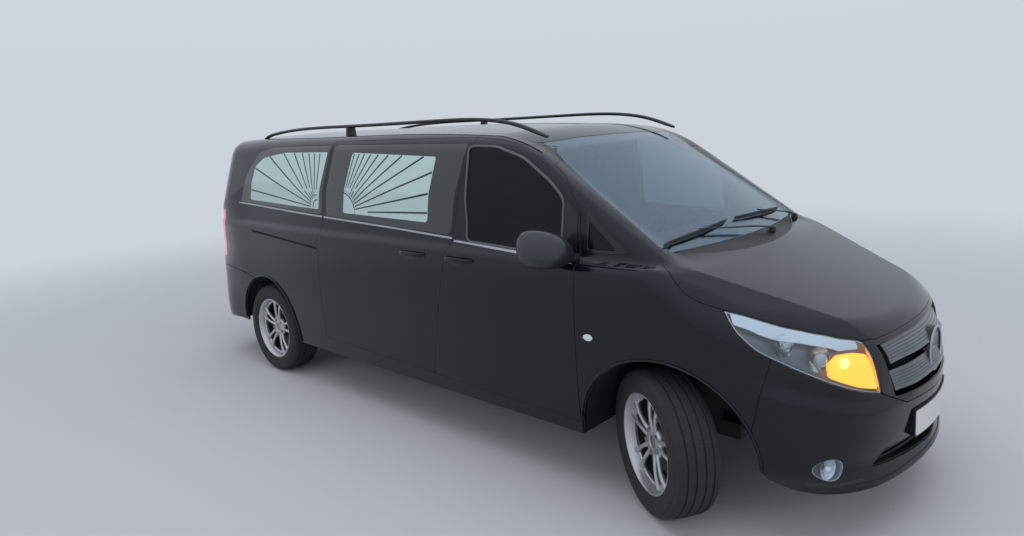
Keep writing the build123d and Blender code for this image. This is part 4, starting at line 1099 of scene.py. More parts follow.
def perforated(view, half_width_at, low_z, height, margin, pitch, hole, rows, depth, lean):
    """A slat across the nose: a grid of quads whose holes are left out, with walls through them."""
    columns = int(half_width_at(low_z) / pitch)
    u = [-columns * pitch]
    for _ in range(2 * columns):
        u += [u[-1] + pitch - hole[0], u[-1] + pitch]
    v, v_step = [0.0], (height - margin[0] - margin[1]) / rows
    v.append(margin[0])
    for k in range(rows):
        v += [margin[0] + k * v_step + hole[1], margin[0] + (k + 1) * v_step]
    v[-1] = height
    u, v = np.array(u), np.array(v)
    wide = half_width_at(low_z + v) / (columns * pitch)
    flat = np.stack([(u[:, None] * wide[None, :]).ravel(), np.tile(low_z + v, len(u))], axis=-1)
    points = cast(*view.rays(flat))
    normals = form_normal(points)
    sink = 0.004 + lean * np.tile(v / height, len(u))
    front, back = points - normals * sink[:, None], points - normals * (sink + depth)[:, None]
    count, rows_v = len(points), len(v)
    faces = []
    for i in range(len(u) - 1):
        for j in range(rows_v - 1):
            a, b = i * rows_v + j, (i + 1) * rows_v + j
            if i % 2 == 0 and j % 2 == 1 and 0 < i < len(u) - 2:
                ring = [a, b, b + 1, a + 1]
                faces += [(ring[k], ring[k] + count, ring[k - 1] + count, ring[k - 1]) for k in range(4)]
            else:
                faces += [(a, b, b + 1, a + 1), (a + count, a + 1 + count, b + 1 + count, b + count)]
    for i in range(len(u) - 1):
        for j in (0, rows_v - 1):
            a, b = i * rows_v + j, (i + 1) * rows_v + j
            faces.append((a, a + count, b + count, b))
    for j in range(rows_v - 1):
        for i in (0, len(u) - 1):
            a = i * rows_v + j
            faces.append((a, a + 1, a + 1 + count, a + count))
    return np.vstack([front, back]), faces


def opening_half(z):
    """Half the width of the grille's opening at a height, less a little clearance."""
    return 0.386 + (z - 0.606) * 0.336 - 0.004


slat_height, slat_margin, slat_depth, slat_lean = 0.060, (0.011, 0.006), 0.004, 0.016
hole_pitch, hole_size, hole_rows = 0.0105, (0.0070, 0.0050), 5
slats = [
    perforated(
        from_nose, opening_half, low_z, slat_height, slat_margin, hole_pitch, hole_size, hole_rows,
        slat_depth, slat_lean,
    )
    for low_z in (0.618, 0.704, 0.787)
]
slat_grey = Graph("slat_grey").surface(base_color=(0.105, 0.118, 0.138), roughness=0.34, coat_weight=0.5)
slat_piece = mesh_object("grille_slats", *joined(slats), slat_grey, "body", sharp=0.4)
disc_z = 0.722
disc_points, disc_faces = turned(
    [
        (0.0005, 0.024), (0.088, 0.030), (0.090, 0.034), (0.102, 0.034), (0.104, 0.028), (0.104, 0.0),
        (0.0005, 0.0),
    ], 72
)
disc_place = Matrix.Translation((2.633, 0, disc_z)) @ Matrix.Rotation(-math.pi / 2, 4, "Z")
mesh_object(
    "grille_disc", [disc_place @ Vector(p) for p in disc_points], disc_faces, gloss_black, "body",
    sharp=0.5,
)
ring_points, ring_faces = turned(
    [(0.092, 0.033), (0.094, 0.037), (0.100, 0.037), (0.103, 0.033), (0.103, 0.030), (0.092, 0.030)], 72,
)
mesh_object(
    "grille_ring", [disc_place @ Vector(p) for p in ring_points], ring_faces, bright_trim, "body",
    sharp=0.5,
)
# A near-black sheet behind the grille's opening is painted shade for the dark space behind the slats.
backing = panel(
    "grille_backing", from_nose, across(from_nose, trace(ahead, grille_hole)), gap_black, depth=0.004,
    rise=-0.075, twin=False,
)
on_body(backing, "body")
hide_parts("grille")
print("grille", len(slat_piece.data.polygons))

# %% [markdown]
# The wheels are built at their own centre, outer face towards -Y, and then set in place. Five pairs
# of rounded spokes stand back inside a deep lip, over a brake disc.

# %% Wheel pieces
alloy = Graph("alloy")
grime = alloy.noise(14.0, 5.0)
alloy.surface(
    base_color=alloy.mix(grime, (0.46, 0.46, 0.47), (0.66, 0.67, 0.69)), metallic=0.85,
    roughness=grime * 0.25 + 0.28,
)
alloy = alloy.material
tyre_rubber = Graph("tyre_rubber")
spot_x, spot_y, spot_z = (
    tyre_rubber.node("ShaderNodeSeparateXYZ", {}, {0: tyre_rubber.place()}, output=axis) for axis in range(3)
)
around = spot_z.math("ARCTAN2", spot_x)
sipe = (around * 60.0 + spot_y.math("ABSOLUTE") * 26.0).math("SINE").math("ABSOLUTE")
cut = sipe.math("SMOOTH_MIN", 0.30, 0.08) * (spot_y.math("ABSOLUTE") < 0.088)
dust = tyre_rubber.noise(22.0, 4.0)
tyre_rubber.surface(
    base_color=tyre_rubber.mix(dust, (0.012, 0.012, 0.013), (0.030, 0.030, 0.031)), roughness=0.8,
)
tyre_rubber.bump(cut, 0.9, 0.004)
tyre_rubber = tyre_rubber.material
# Dark steel for the brake disc, also used for a sleeve of painted shade inside each rim's barrel.
disc_steel = Graph("disc_steel").surface(base_color=(0.060, 0.060, 0.062), metallic=0.7, roughness=0.45)
bolt_steel = Graph("bolt_steel").surface(base_color=(0.35, 0.35, 0.36), metallic=1.0, roughness=0.35)

barrel_profile = [
    (0.2165, -0.1000), (0.2190, -0.0975), (0.2185, -0.0945), (0.2150, -0.0930), (0.2050, -0.0850),
    (0.1990, -0.0600), (0.1930, -0.0300), (0.1930, 0.0400), (0.2000, 0.0700), (0.2070, 0.0900),
    (0.2170, 0.0950), (0.2190, 0.0980), (0.2160, 0.1000), (0.2040, 0.0985), (0.1900, 0.0700),
    (0.1860, 0.0400), (0.1850, -0.0300), (0.1900, -0.0560), (0.1960, -0.0800), (0.2030, -0.0940),
    (0.2080, -0.0985), (0.2120, -0.0975),
]
hub_profile = [
    (0.0005, -0.0560), (0.0300, -0.0560), (0.0320, -0.0600), (0.0380, -0.0610), (0.0680, -0.0590),
    (0.0760, -0.0560), (0.0800, -0.0500), (0.0800, -0.0340), (0.0700, -0.0300), (0.0005, -0.0300),
]
groove_places = (-0.062, -0.022, 0.022, 0.062)
groove_width, groove_depth = 0.009, 0.007
rim_scale, bead_share = 1.085, 0.864
spoke_turn, spoke_count = math.radians(9.0), 5


def tyre_profile():
    """A tyre's outer section from bead to bead, with four grooves round its tread."""
    side = [
        (0.208, -0.0850), (0.214, -0.0985), (0.2200, -0.1010), (0.2280, -0.1060), (0.2400, -0.1100),
        (0.2440, -0.1112), (0.2455, -0.1100), (0.2480, -0.1098), (0.2500, -0.1116), (0.2660, -0.1125),
        (0.2860, -0.1115), (0.2990, -0.1090), (0.3000, -0.1072), (0.3030, -0.1066), (0.3045, -0.1078),
        (0.3150, -0.1040), (0.3250, -0.0960), (0.3310, -0.0870),
    ]
    tread = []
    for y in groove_places:
        crown = tyre_radius - 2.4 * max(abs(y) - 0.03, 0) ** 2
        low, high = y - groove_width / 2, y + groove_width / 2
        tread += [(crown, low - 0.001), (crown - 0.001, low), (crown - groove_depth, low + 0.001)]
        tread += [(crown - groove_depth, high - 0.001), (crown - 0.001, high), (crown, high + 0.001)]
    other = [(r, -y) for r, y in reversed(side)]
    return [(tyre_radius - (tyre_radius - r) * bead_share, y) for r, y in side + tread + other]


def spoke_pair(turn):
    """Two rounded spokes side by side, with the web that joins them at the rim."""
    parts = []
    reach = np.linspace(0.058, 0.204, 14)
    share = (reach - reach[0]) / (reach[-1] - reach[0])
    face_y = -0.049 - 0.012 * np.sin(share * math.pi * 0.9) - 0.003 * share
    wide = 1.0 - 0.28 * np.sin(share * math.pi) + 0.22 * share**4
    section = ring_section(0.028, 0.026, 12, 2.8)
    for side in (-1, 1):
        offset = side * (0.016 + 0.024 * share**1.2)
        path = np.stack([offset, face_y, reach], axis=-1)
        parts.append(drawn(path, [(b, a) for a, b in section], wide))
    arc = np.linspace(-0.045, 0.045, 7)
    web = np.stack([arc, np.full(7, -0.052), np.sqrt(0.201**2 - arc**2)], axis=-1)
    parts.append(drawn(web, ring_section(0.012, 0.024, 8)))
    points, faces = joined(parts)
    spin = np.array(Matrix.Rotation(turn, 3, "Y"))
    return points @ spin.T, faces


def bolt(turn, radius=0.056):
    """A hexagon bolt head on a round washer face, at a place round the hub."""
    hexagon = [(0.0105 * math.cos(a), 0.0105 * math.sin(a)) for a in np.radians(range(0, 360, 60))]
    rings = []
    for y, size in ((-0.056, 1.3), (-0.059, 1.3), (-0.059, 1.0), (-0.068, 1.0), (-0.0695, 0.82)):
        rings += [(x * size, y, z * size + radius) for x, z in hexagon]
    spin = np.array(Matrix.Rotation(turn, 3, "Y"))
    return np.array(rings) @ spin.T, tube_faces(5, 6)


def wheel(name, place, steer, body, left):
    """A tyre, rim, bolts and brake disc about one axle, with a dark sleeve inside the barrel as painted
    shade.
    """
    where = Matrix.Translation(place) @ Matrix.Rotation(steer, 4, "Z")
    spun = np.array(Matrix.Rotation(spoke_turn, 3, "Y"))
    fifth = 2 * math.pi / spoke_count
    barrel = turned([(r * rim_scale, y) for r, y in barrel_profile], 96)
    inner_ring = turned(
        [(0.196, -0.056), (0.206, -0.060), (0.214, -0.056), (0.216, -0.040), (0.196, -0.044)], 96,
    )
    rim = joined(
        [barrel, inner_ring, turned(hub_profile, 48), *[spoke_pair(k * fifth) for k in range(spoke_count)]],
    )
    # A thin dark sleeve just inside the barrel is painted shade for the rim's hollow.
    shade = turned([(0.2000, -0.040), (0.2010, -0.040), (0.1995, 0.086), (0.1985, 0.086)], 96)
    disc_profile = [
        (0.060, -0.030), (0.078, -0.030), (0.080, -0.006), (0.150, -0.006), (0.151, -0.005),
        (0.151, 0.016), (0.150, 0.017), (0.070, 0.017), (0.060, 0.010),
    ]
    cap = turned(
        [(0.0005, -0.0585), (0.024, -0.0585), (0.0285, -0.057), (0.0285, -0.050), (0.0005, -0.050)], 40,
    )
    pieces = {
        "tyre": (turned(tyre_profile(), 120), tyre_rubber, 0.5),
        "rim": (rim, alloy, 0.7),
        "disc": (joined([turned(disc_profile, 72), shade]), disc_steel, 0.5),
        "bolts": (joined([*[bolt((k + 0.5) * fifth) for k in range(spoke_count)], cap]), bolt_steel, 0.5),
    }
    for kind, (part, material, sharp) in pieces.items():
        points, faces = mirror_part(part) if left else part
        points = points if kind == "tyre" else points @ spun.T
        piece = mesh_object(f"{name}_{kind}", points, faces, material, sharp=sharp)
        piece.matrix_world = where
        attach(piece, body)
        if kind in ("tyre", "rim"):
            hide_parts(f"{name}_{kind}")


kingpin_y, wheel_offset, rear_wheel_y = 0.760, 0.073, 0.823
for side, sign, steer in (("right", -1, math.radians(-32.4)), ("left", 1, math.radians(-26.0))):
    out = Matrix.Rotation(steer, 3, "Z") @ Vector((0, sign * wheel_offset, 0))
    front_place = Vector((front_axle_x, sign * kingpin_y, tyre_radius)) + out
    wheel(f"{side}_front", front_place, steer, f"{side}_front_wheel", sign > 0)
    wheel(
        f"{side}_rear", Vector((rear_axle_x, sign * rear_wheel_y, tyre_radius)), 0.0, f"{side}_rear_wheel",
        sign > 0,
    )

# %% [markdown]
# Trim, film and rays are ribbons that lie on the skin: a line drawn in side view, a width, and how
# far the ribbon stands off. The film is a common ray pattern, laid out here as plain fans of rays.

# %% Ribbons on the skin


def ribbon(view, pairs, width, rise, depth=0.002, step=0.05, taper=1.0):
    """A flat strip on the skin along a line drawn in one view; taper is its end width as a share."""
    dense = dense_line(pairs, step)
    along = np.gradient(dense, axis=0)
    along /= np.linalg.norm(along, axis=1, keepdims=True)
    across_line = np.stack([-along[:, 1], along[:, 0]], axis=-1)
    share = np.linspace(1, taper, len(dense))[:, None] * width / 2
    rings = []
    for way, lift in ((1.0, rise - depth), (0.9, rise), (-0.9, rise), (-1.0, rise - depth)):
        points = cast(*view.rays(dense + across_line * share * way))
        rings.append(points + form_normal(points) * lift)
    points = np.stack(rings, axis=1).reshape(-1, 3)
    return points, tube_faces(len(dense), 4)


def on_side(name, parts, material, body="body", sharp=0.5):
    """One piece from several parts of the right-hand side, and its left-hand twin."""
    made = []
    for side in ("right", "left"):
        points, faces = joined(parts if side == "right" else [mirror_part(part) for part in parts])
        piece = mesh_object(f"{side}_{name}", points, faces, material, body.format(side), sharp=sharp)
        made.append(piece)
    return made


rear_belt = [(-2.065, 1.303), (-1.5, 1.280), (-0.838, 1.2545)]
slide_belt = [(-0.818, 1.2535), (0.0, 1.2245), (0.478, 1.203)]
door_belt = [(0.492, 1.190), (0.90, 1.171), (1.340, 1.153)]
on_side("rear_belt_trim", [ribbon(beside, rear_belt, 0.013, 0.0022)], bright_trim)
on_side("slide_belt_trim", [ribbon(beside, slide_belt, 0.013, 0.0022)], bright_trim)
on_side("door_belt_trim", [ribbon(beside, door_belt, 0.013, 0.0022)], bright_trim, "{}_door")

film = Graph("window_film").surface(base_color=(0.50, 0.66, 0.66), roughness=0.45)
ray_ink = Graph("film_rays").surface(base_color=(0.012, 0.016, 0.018), roughness=0.3)
slide_film = [(0.318, 1.654), (0.258, 1.277), (-0.593, 1.292), (-0.506, 1.684)]
rear_film = [
    (-0.800, 1.690), (-0.885, 1.302), (-1.883, 1.332), (-1.800, 1.590), (-1.680, 1.655),
    (-1.360, 1.692),
]


def leave(centre, angle, border):
    """How far a ray from a centre runs before it leaves a border drawn in side view."""
    way = np.array([math.cos(angle), math.sin(angle)])
    best = 0.0
    for a, b in zip(border, border[1:] + border[:1]):
        a, b = np.array(a), np.array(b)
        system = np.array([way, a - b]).T
        if abs(np.linalg.det(system)) > 1e-9:
            t, u = np.linalg.solve(system, a - np.array(centre))
            if 0 <= u <= 1 and t > best:
                best = t
    return best


def fan(centre, border, low_degrees, high_degrees, count, inner):
    """Plain rays in a fan from a corner of the film to its far edges."""
    strips = []
    for degrees in np.linspace(low_degrees, high_degrees, count):
        angle = math.radians(degrees)
        reach = leave(centre, angle, border) - 0.006
        way = (math.cos(angle), math.sin(angle))
        ends = [(centre[0] + way[0] * r, centre[1] + way[1] * r) for r in (inner, reach)]
        strips.append(ribbon(beside, ends, 0.008, 0.0022, 0.0008, taper=1.5))
    return strips


def arc_of(centre, radius, low_degrees, high_degrees, count=14):
    turns = np.radians(np.linspace(low_degrees, high_degrees, count))
    return [(centre[0] + radius * math.cos(a), centre[1] + radius * math.sin(a)) for a in turns]


slide_centre, rear_centre = (-0.585, 1.300), (-0.893, 1.310)
slide_rays = fan(slide_centre, slide_film, 2.2, 75, 11, 0.140)
slide_rays.append(ribbon(beside, arc_of(slide_centre, 0.128, -3, 92), 0.009, 0.0022, 0.0008, step=0.02))
rear_rays_parts = fan(rear_centre, rear_film, 90, 174, 9, 0.085)
rear_rays_parts.append(ribbon(beside, arc_of(rear_centre, 0.058, 85, 182), 0.008, 0.0022, 0.0008, step=0.02))
for name, border in (("slide_film", slide_film), ("rear_film", rear_film)):
    patch = panel(name, from_nose, side_loop(border, 0.022), film, depth=-0.0004, edge=0.0004, rise=0.0012)
    on_body(patch, "body")
on_side("slide_film_rays", slide_rays, ray_ink)
on_side("rear_film_rays", rear_rays_parts, ray_ink)
print("film and trim ready")

# %% Handles, slide slot and side markers


def skin_at(view, pairs):
    points = cast(*view.rays(np.array(pairs, float)))
    return points, form_normal(points)


def handle(front_x, z):
    """A bar that stands off the skin between two feet."""
    x = np.array([0.0, -0.006, -0.020, -0.050, -0.108, -0.165, -0.195, -0.209, -0.215]) + front_x
    points, normals = skin_at(beside, [(value, z) for value in x])
    lift = np.array([-0.004, 0.010, 0.023, 0.0285, 0.030, 0.0285, 0.023, 0.010, -0.004])
    section = ring_section(0.013, 0.027, 14, 3.0)
    return drawn(points + normals * lift[:, None], section, [0.75, 0.85, 0.95, 1, 1, 1, 0.95, 0.85, 0.75])


def cup(front_x, z):
    """The outline in side view of a dark patch behind a handle: painted shade for the hollow there."""
    turns = np.linspace(0, 2 * math.pi, 33)[:-1]
    return [(front_x - 0.125 + 0.062 * math.cos(a), z - 0.006 + 0.030 * math.sin(a)) for a in turns]


handle_z = 1.098
for name, front_x, body in (("front_handle", 0.680, "{}_door"), ("slide_handle", 0.280, "body")):
    on_side(name, [handle(front_x, handle_z)], paint, body, sharp=1.2)
    # The gloss black patch on the skin is painted shade where the hollow behind the handle lies.
    hollow = panel(
        name + "_cup", from_nose, side_loop(cup(front_x, handle_z), 0.004), gloss_black, depth=-0.001,
        edge=0.001, rise=0.0006,
    )
    on_body(hollow, body)

slot_line = [(-1.791, 1.101), (-0.858, 1.045)]
# The slot is a near-black strip laid on the skin: painted shade for the gap along the sliding door's rail.
on_side("slide_slot", [ribbon(beside, slot_line, 0.014, 0.0012, 0.001)], gap_black)
on_side(
    "slide_slot_lip", [ribbon(beside, [(x, z - 0.010) for x, z in slot_line], 0.005, 0.003, 0.003)], paint,
)
marker = [
    (1.443 + 0.027 * math.cos(a), 0.812 + 0.016 * math.sin(a))
    for a in np.linspace(0, 2 * math.pi, 33)[:-1]
]
marker_lens = Graph("marker_lens").surface(base_color=(0.75, 0.78, 0.80), roughness=0.25, coat_weight=1.0)
on_body(
    panel(
        "side_marker", from_nose, side_loop(marker, 0.003), marker_lens, depth=-0.004, edge=0.004,
        rise=0.004,
    ),
    "body",
)

# %% Arch lips and liners


def arch_parts(axle_x, start, stop, radius=arch_radius):
    """A rolled lip round a wheel arch and a dark liner inside it."""
    line = np.array(arch_line(axle_x, radius + 0.010, start, stop, 64))
    points, _ = skin_at(from_nose, from_nose.flat(trace(beside, line, step=9.0)))
    lip = drawn(points, ring_section(0.010, 0.022, 12, 2.6))
    turns = np.radians(np.linspace(start, stop, 64))
    rings = []
    for a, point in zip(turns, points):
        for y in (point[1] + 0.004, -0.41 if axle_x > 0 else -0.60):
            for r in (radius + 0.001, radius + 0.006) if y < -0.7 else (radius + 0.006, radius + 0.001):
                rings.append((axle_x + r * math.cos(a), y, tyre_radius + r * math.sin(a)))
    return lip, (np.array(rings), tube_faces(len(turns), 4))


liners = []
for axle_x, start, stop in ((front_axle_x, -2, 184), (rear_axle_x, -4, 176)):
    lip, liner = arch_parts(axle_x, start, stop)
    on_side("front_arch_lip" if axle_x > 0 else "rear_arch_lip", [lip], paint, sharp=1.2)
    liners.append(liner)
    if axle_x > 0:
        liners.append(brick((axle_x - 0.47, -0.414, 0.30), (axle_x + 0.47, -0.408, 0.86)))
# The liners are real parts, given the near-black of the painted shade, which darkens the wheel wells.
on_side("arch_liners", liners, gap_black)

# %% Mirrors


def mirror_middle(out):
    """The middle of the mirror pod's section at a distance out from its inner end."""
    return np.array([1.322 - 0.50 * out, -0.925 - out, 1.196 + 0.18 * out])


def mirror_housing():
    """A pod that narrows inwards to its foot, with a flatter rear and a rounded outer end."""
    rings = []
    outwards = np.array([0.0, 0.010, 0.030, 0.060, 0.095, 0.130, 0.165, 0.195, 0.213, 0.222])
    grow = np.array([0.26, 0.42, 0.60, 0.80, 0.95, 1.02, 1.02, 0.90, 0.64, 0.22])
    for out, size in zip(outwards, grow):
        for a in np.linspace(0, 2 * math.pi, 32, endpoint=False):
            c, s = math.cos(a), math.sin(a)
            x = 0.100 * math.copysign(abs(c) ** 0.80, c) * size
            z = (0.100 if s > 0 else 0.082) * math.copysign(abs(s) ** 0.75, s) * size
            rings.append(mirror_middle(out) + (x if x > 0 else x * 0.66, 0, z))
    return np.array(rings), tube_faces(len(outwards), 32)


def mirror_foot():
    path = [(1.318, -0.862, 1.160), (1.316, -0.905, 1.168), (1.308, -0.945, 1.182), (1.298, -0.985, 1.198)]
    return drawn(path, ring_section(0.085, 0.050, 16, 3.0), [1.15, 1.0, 0.9, 0.8])


def mirror_face():
    loop = []
    for depth in (0.0, 0.005):
        for a in np.linspace(0, 2 * math.pi, 40, endpoint=False):
            c, s = math.cos(a), math.sin(a)
            out = 0.122 - 0.068 * math.copysign(abs(c) ** 0.6, c)
            spot = mirror_middle(out) + (-0.0700 + depth, 0, 0.006 + 0.070 * math.copysign(abs(s) ** 0.6, s))
            loop.append(spot)
    return np.array(loop), tube_faces(2, 40)


mirror_paint = Graph("mirror_housing")
low_part = mirror_paint.node("ShaderNodeSeparateXYZ", {}, {0: mirror_paint.place()}, output=2) < 1.196
mirror_paint.surface(
    base_color=mirror_paint.mix(low_part, (0.022, 0.026, 0.034), (0.012, 0.012, 0.013)),
    roughness=low_part * 0.25 + 0.24, coat_weight=0.4,
)
mirror_paint = mirror_paint.material
mirror_glass = Graph("mirror_glass").surface(base_color=(0.75, 0.78, 0.80), metallic=1.0, roughness=0.03)
for piece, side in zip(
    on_side("mirror_pod", [mirror_housing()], mirror_paint, "{}_door", sharp=1.4), ("right", "left"),
):
    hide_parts(f"{side}_mirror")
on_side("mirror_foot", [mirror_foot()], black_plastic, "{}_door", sharp=1.4)
on_side("mirror_face", [mirror_face()], mirror_glass, "{}_door")
print("mirrors and arches ready")

# %% [markdown]
# A headlamp is a clear lens over a dark bucket with bright walls. In the bucket are two bowls with a
# glass ball in front of each, a pale upper band and, at the inner end, the amber indicator, which is
# lit as in the photo.

# %% Headlamps
chrome = Graph("lamp_chrome").surface(base_color=(0.62, 0.66, 0.70), metallic=1.0, roughness=0.12)
lamp_dark = Graph("lamp_dark").surface(base_color=(0.16, 0.18, 0.20), metallic=0.6, roughness=0.30)
lamp_silver = Graph("lamp_silver").surface(base_color=(0.62, 0.70, 0.78), metallic=0.5, roughness=0.35)
amber = Graph("amber_lit").surface(
    base_color=(0.95, 0.38, 0.03), roughness=0.3, emission_color=(1.0, 0.36, 0.02), emission_strength=1.6
)
amber_core = Graph("amber_core").surface(
    base_color=(1, 0.6, 0.1), emission_color=(1.0, 0.62, 0.12), emission_strength=3.5,
)
projector_glass = Graph("projector_glass").surface(
    base_color=(0.30, 0.36, 0.42), roughness=0.02, coat_weight=1.0,
)


def skirt(view, border, top, bottom, inset=0.003, thick=0.002):
    """A wall below a border's edge between two depths under the skin."""
    loop = fine_loop(border, 0.02)
    if loop_area(loop) < 0:
        loop = loop[::-1]
    out = loop_out(loop)
    rings = []
    for way, lift in ((inset, top), (inset, bottom), (inset + thick, bottom), (inset + thick, top)):
        points = cast(*view.rays(loop - out * way))
        rings.append(points - form_normal(points) * lift)
    points = np.stack(rings, axis=1).reshape(-1, 3)
    return points, tube_faces(len(loop), 4, loop=True)


def aimed(part, place, aim):
    """A part turned about +Y, moved to a place with its axis towards aim."""
    points, faces = part
    turn = Vector((0, 1, 0)).rotation_difference(Vector(aim)).to_matrix()
    return points @ np.array(turn).T + place, faces


def bowl(place, radius, depth, aim, inner=0.30):
    """A reflector bowl that opens towards aim."""
    steps = np.linspace(1, inner, 8)
    outside = [(radius * r, -depth * (1 - r * r)) for r in steps]
    inside = [(radius * r - 0.0015, -depth * (1 - r * r) - 0.002) for r in steps[::-1]]
    return aimed(turned(outside + inside, 40), place, aim)


def ball(place, radius, aim, flat=1.0, count=12):
    """A half ball that faces aim."""
    turns = np.linspace(0.02, math.pi / 2, count)
    profile_points = [(radius * math.sin(t), radius * flat * math.cos(t)) for t in turns] + [(0.001, -0.004)]
    return aimed(turned(profile_points, 36), place, aim)


aim = Vector((0.86, -0.50, 0.05)).normalized()
buckets = panel("headlamp_bucket", from_nose, lamp_border, lamp_dark, depth=0.003, edge=0.001, rise=-0.060)
on_body(buckets, "body")
on_side("headlamp_wall", [skirt(from_nose, lamp_border, 0.006, 0.062)], chrome)
on_side(
    "headlamp_bowls",
    [bowl((2.388, -0.672, 0.806), 0.054, 0.040, aim), bowl((2.272, -0.745, 0.862), 0.050, 0.040, aim)],
    chrome,
)
on_side(
    "headlamp_projector",
    [ball((2.394, -0.676, 0.806), 0.032, aim, 0.8), ball((2.280, -0.750, 0.863), 0.016, aim)],
    projector_glass,
)
amber_view = [
    (-0.678, 0.735), (-0.676, 0.790), (-0.634, 0.828), (-0.575, 0.830), (-0.520, 0.815),
    (-0.480, 0.655), (-0.572, 0.680), (-0.636, 0.710),
]
amber_border = outline(from_nose, trace(ahead, closed(amber_view)), soften=0.012)
amber_piece = panel(
    "indicator", from_nose, amber_border, amber, depth=0.020, edge=0.006, rise=-0.010, step=0.015,
)
on_body(amber_piece, "body")
on_side("indicator_core", [ball((2.470, -0.618, 0.790), 0.022, aim, 0.5)], amber_core)
band_top = [(2.085, -0.838), (2.188, -0.780), (2.361, -0.662), (2.443, -0.594), (2.492, -0.538)]
band_low = [(2.505, -0.548), (2.455, -0.620), (2.372, -0.690), (2.200, -0.812), (2.110, -0.858)]
band_border = outline(from_nose, trace(above, [*band_top, *band_low, band_top[0]]), soften=0.006)
on_body(
    panel(
        "headlamp_band", from_nose, band_border, lamp_silver, depth=0.004, edge=0.002, rise=-0.006,
        step=0.015,
    ),
    "body",
)
print("headlamps ready")

# %% Nose details
plate_white = Graph("plate").surface(base_color=(0.72, 0.73, 0.74), roughness=0.35)
fog_back = joined([
    bowl((2.430, -0.670, 0.342), 0.045, 0.03, (0.93, -0.35, 0)),
    ball((2.424, -0.668, 0.342), 0.018, (0.93, -0.35, 0)),
])
fog_parts = on_side("fog_lamp_bowl", [fog_back], lamp_silver)
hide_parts("fog_lamps")
fog_lens = panel("fog_lamp_lens", from_nose, fog_loop, lens_glass, depth=0.004, edge=0.002, rise=-0.012)
on_body(fog_lens, "body")
on_side("fog_lamp_rim", [skirt(from_nose, fog_loop, 0.002, 0.055, inset=-0.001)], lamp_silver)
ledge = ribbon(ahead, [(-0.745, 0.290), (-0.670, 0.280), (-0.560, 0.288)], 0.014, 0.006, 0.010)
on_side("fog_ledge", [ledge], gloss_black)
intake_border = across(from_nose, trace(ahead, intake))
# A near-black sheet behind the intake is painted shade for the dark space inside it.
on_body(
    panel("intake_backing", from_nose, intake_border, gap_black, depth=0.004, rise=-0.09, twin=False),
    "body",
)
mesh_object("intake_wall", *skirt(from_nose, intake_border, 0.003, 0.09), black_plastic, "body")
bars = [ribbon(ahead, [(-0.47, z), (0.47, z)], 0.010, -0.028, 0.012) for z in (0.328, 0.346, 0.364)]
mesh_object("intake_bars", *joined(bars), black_plastic, "body", sharp=0.5)

plate_bend = 0.38


def plate_slab(half, low, high, front, back, shrink, radius=0.008):
    """A slab with round corners that bends with the nose; its back may be smaller than its front."""
    turns = np.radians([90, 60, 30, 0])
    ends = list(zip(half - radius + radius * np.sin(turns), radius * (1 - np.cos(turns))))
    inner = [(y, 0.0) for y in np.linspace(half - radius, radius - half, 13)[1:-1]]
    middle, tall = (low + high) / 2, (high - low) / 2
    points = []
    for y, inset in [*ends, *inner, *[(-y, inset) for y, inset in ends[::-1]]]:
        for x, scale, way in ((front, 1.0, -1), (front, 1.0, 1), (back, shrink, 1), (back, shrink, -1)):
            points.append(
                (x - plate_bend * (y * scale) ** 2, y * scale, middle + way * (tall - inset) * scale),
            )
    return np.array(points), tube_faces(len(points) // 4, 4)


mesh_object(
    "front_plate_holder", *plate_slab(0.268, 0.390, 0.514, 2.680, 2.600, 0.90), black_plastic, "body",
    sharp=0.5,
)
mesh_object(
    "front_plate", *plate_slab(0.260, 0.397, 0.508, 2.6825, 2.679, 1.0), plate_white, "body", sharp=0.5,
)
lip_line = [(-0.780, 0.292), (-0.72, 0.276), (-0.62, 0.268), (-0.45, 0.266), (-0.25, 0.274), (0.0, 0.280)]
lip_line += [(-y, z) for y, z in lip_line[-2::-1]]
lip_strip = ribbon(ahead, lip_line, 0.010, 0.004, 0.006, step=0.02)
mesh_object("bumper_lip", *lip_strip, paint, "body", sharp=1.0)

# %% Wipers


def above_screen(y, z, lift):
    points, normals = skin_at(ahead, [(y, z)])
    return points[0] + normals[0] * lift


def wiper(blade_ends, pivot, joint):
    """A blade that lies along the glass, and the arm that reaches it from its pivot."""
    (y0, z0), (y1, z1) = blade_ends
    steps = np.linspace(0, 1, 12)
    rubber = [above_screen(y0 + (y1 - y0) * t, z0 + (z1 - z0) * t, 0.006) for t in steps]
    spine = [
        above_screen(y0 + (y1 - y0) * t, z0 + (z1 - z0) * t, 0.016 + 0.006 * math.sin(t * math.pi))
        for t in steps
    ]
    arm = [
        above_screen(*pivot, 0.022),
        above_screen(pivot[0] * 0.7 + joint[0] * 0.3, pivot[1] * 0.7 + joint[1] * 0.3, 0.036),
    ]
    arm += [above_screen(*joint, 0.026)]
    hub = ball(np.array(above_screen(*pivot, 0.002)), 0.020, (0.5, 0, 0.85), 1.2)
    parts = [
        drawn(rubber, ring_section(0.005, 0.012, 8)),
        drawn(spine, ring_section(0.012, 0.009, 8), 0.7 + 0.5 * np.sin(steps * math.pi)),
        drawn(arm, ring_section(0.016, 0.009, 10, 3), [1.3, 1.0, 0.7]),
        hub,
    ]
    return joined(parts)


wipers = joined([
    wiper(((-0.72, 1.222), (-0.13, 1.262)), (0.16, 1.180), (-0.42, 1.245)),
    wiper(((-0.03, 1.262), (0.60, 1.236)), (0.66, 1.178), (0.24, 1.258)),
])
mesh_object("wipers", *wipers, black_plastic, "body", sharp=0.8)
print("nose details and wipers ready")

# %% Roof rails


rail_y, rail_post_x, rail_steps = 0.655, -0.776, 48


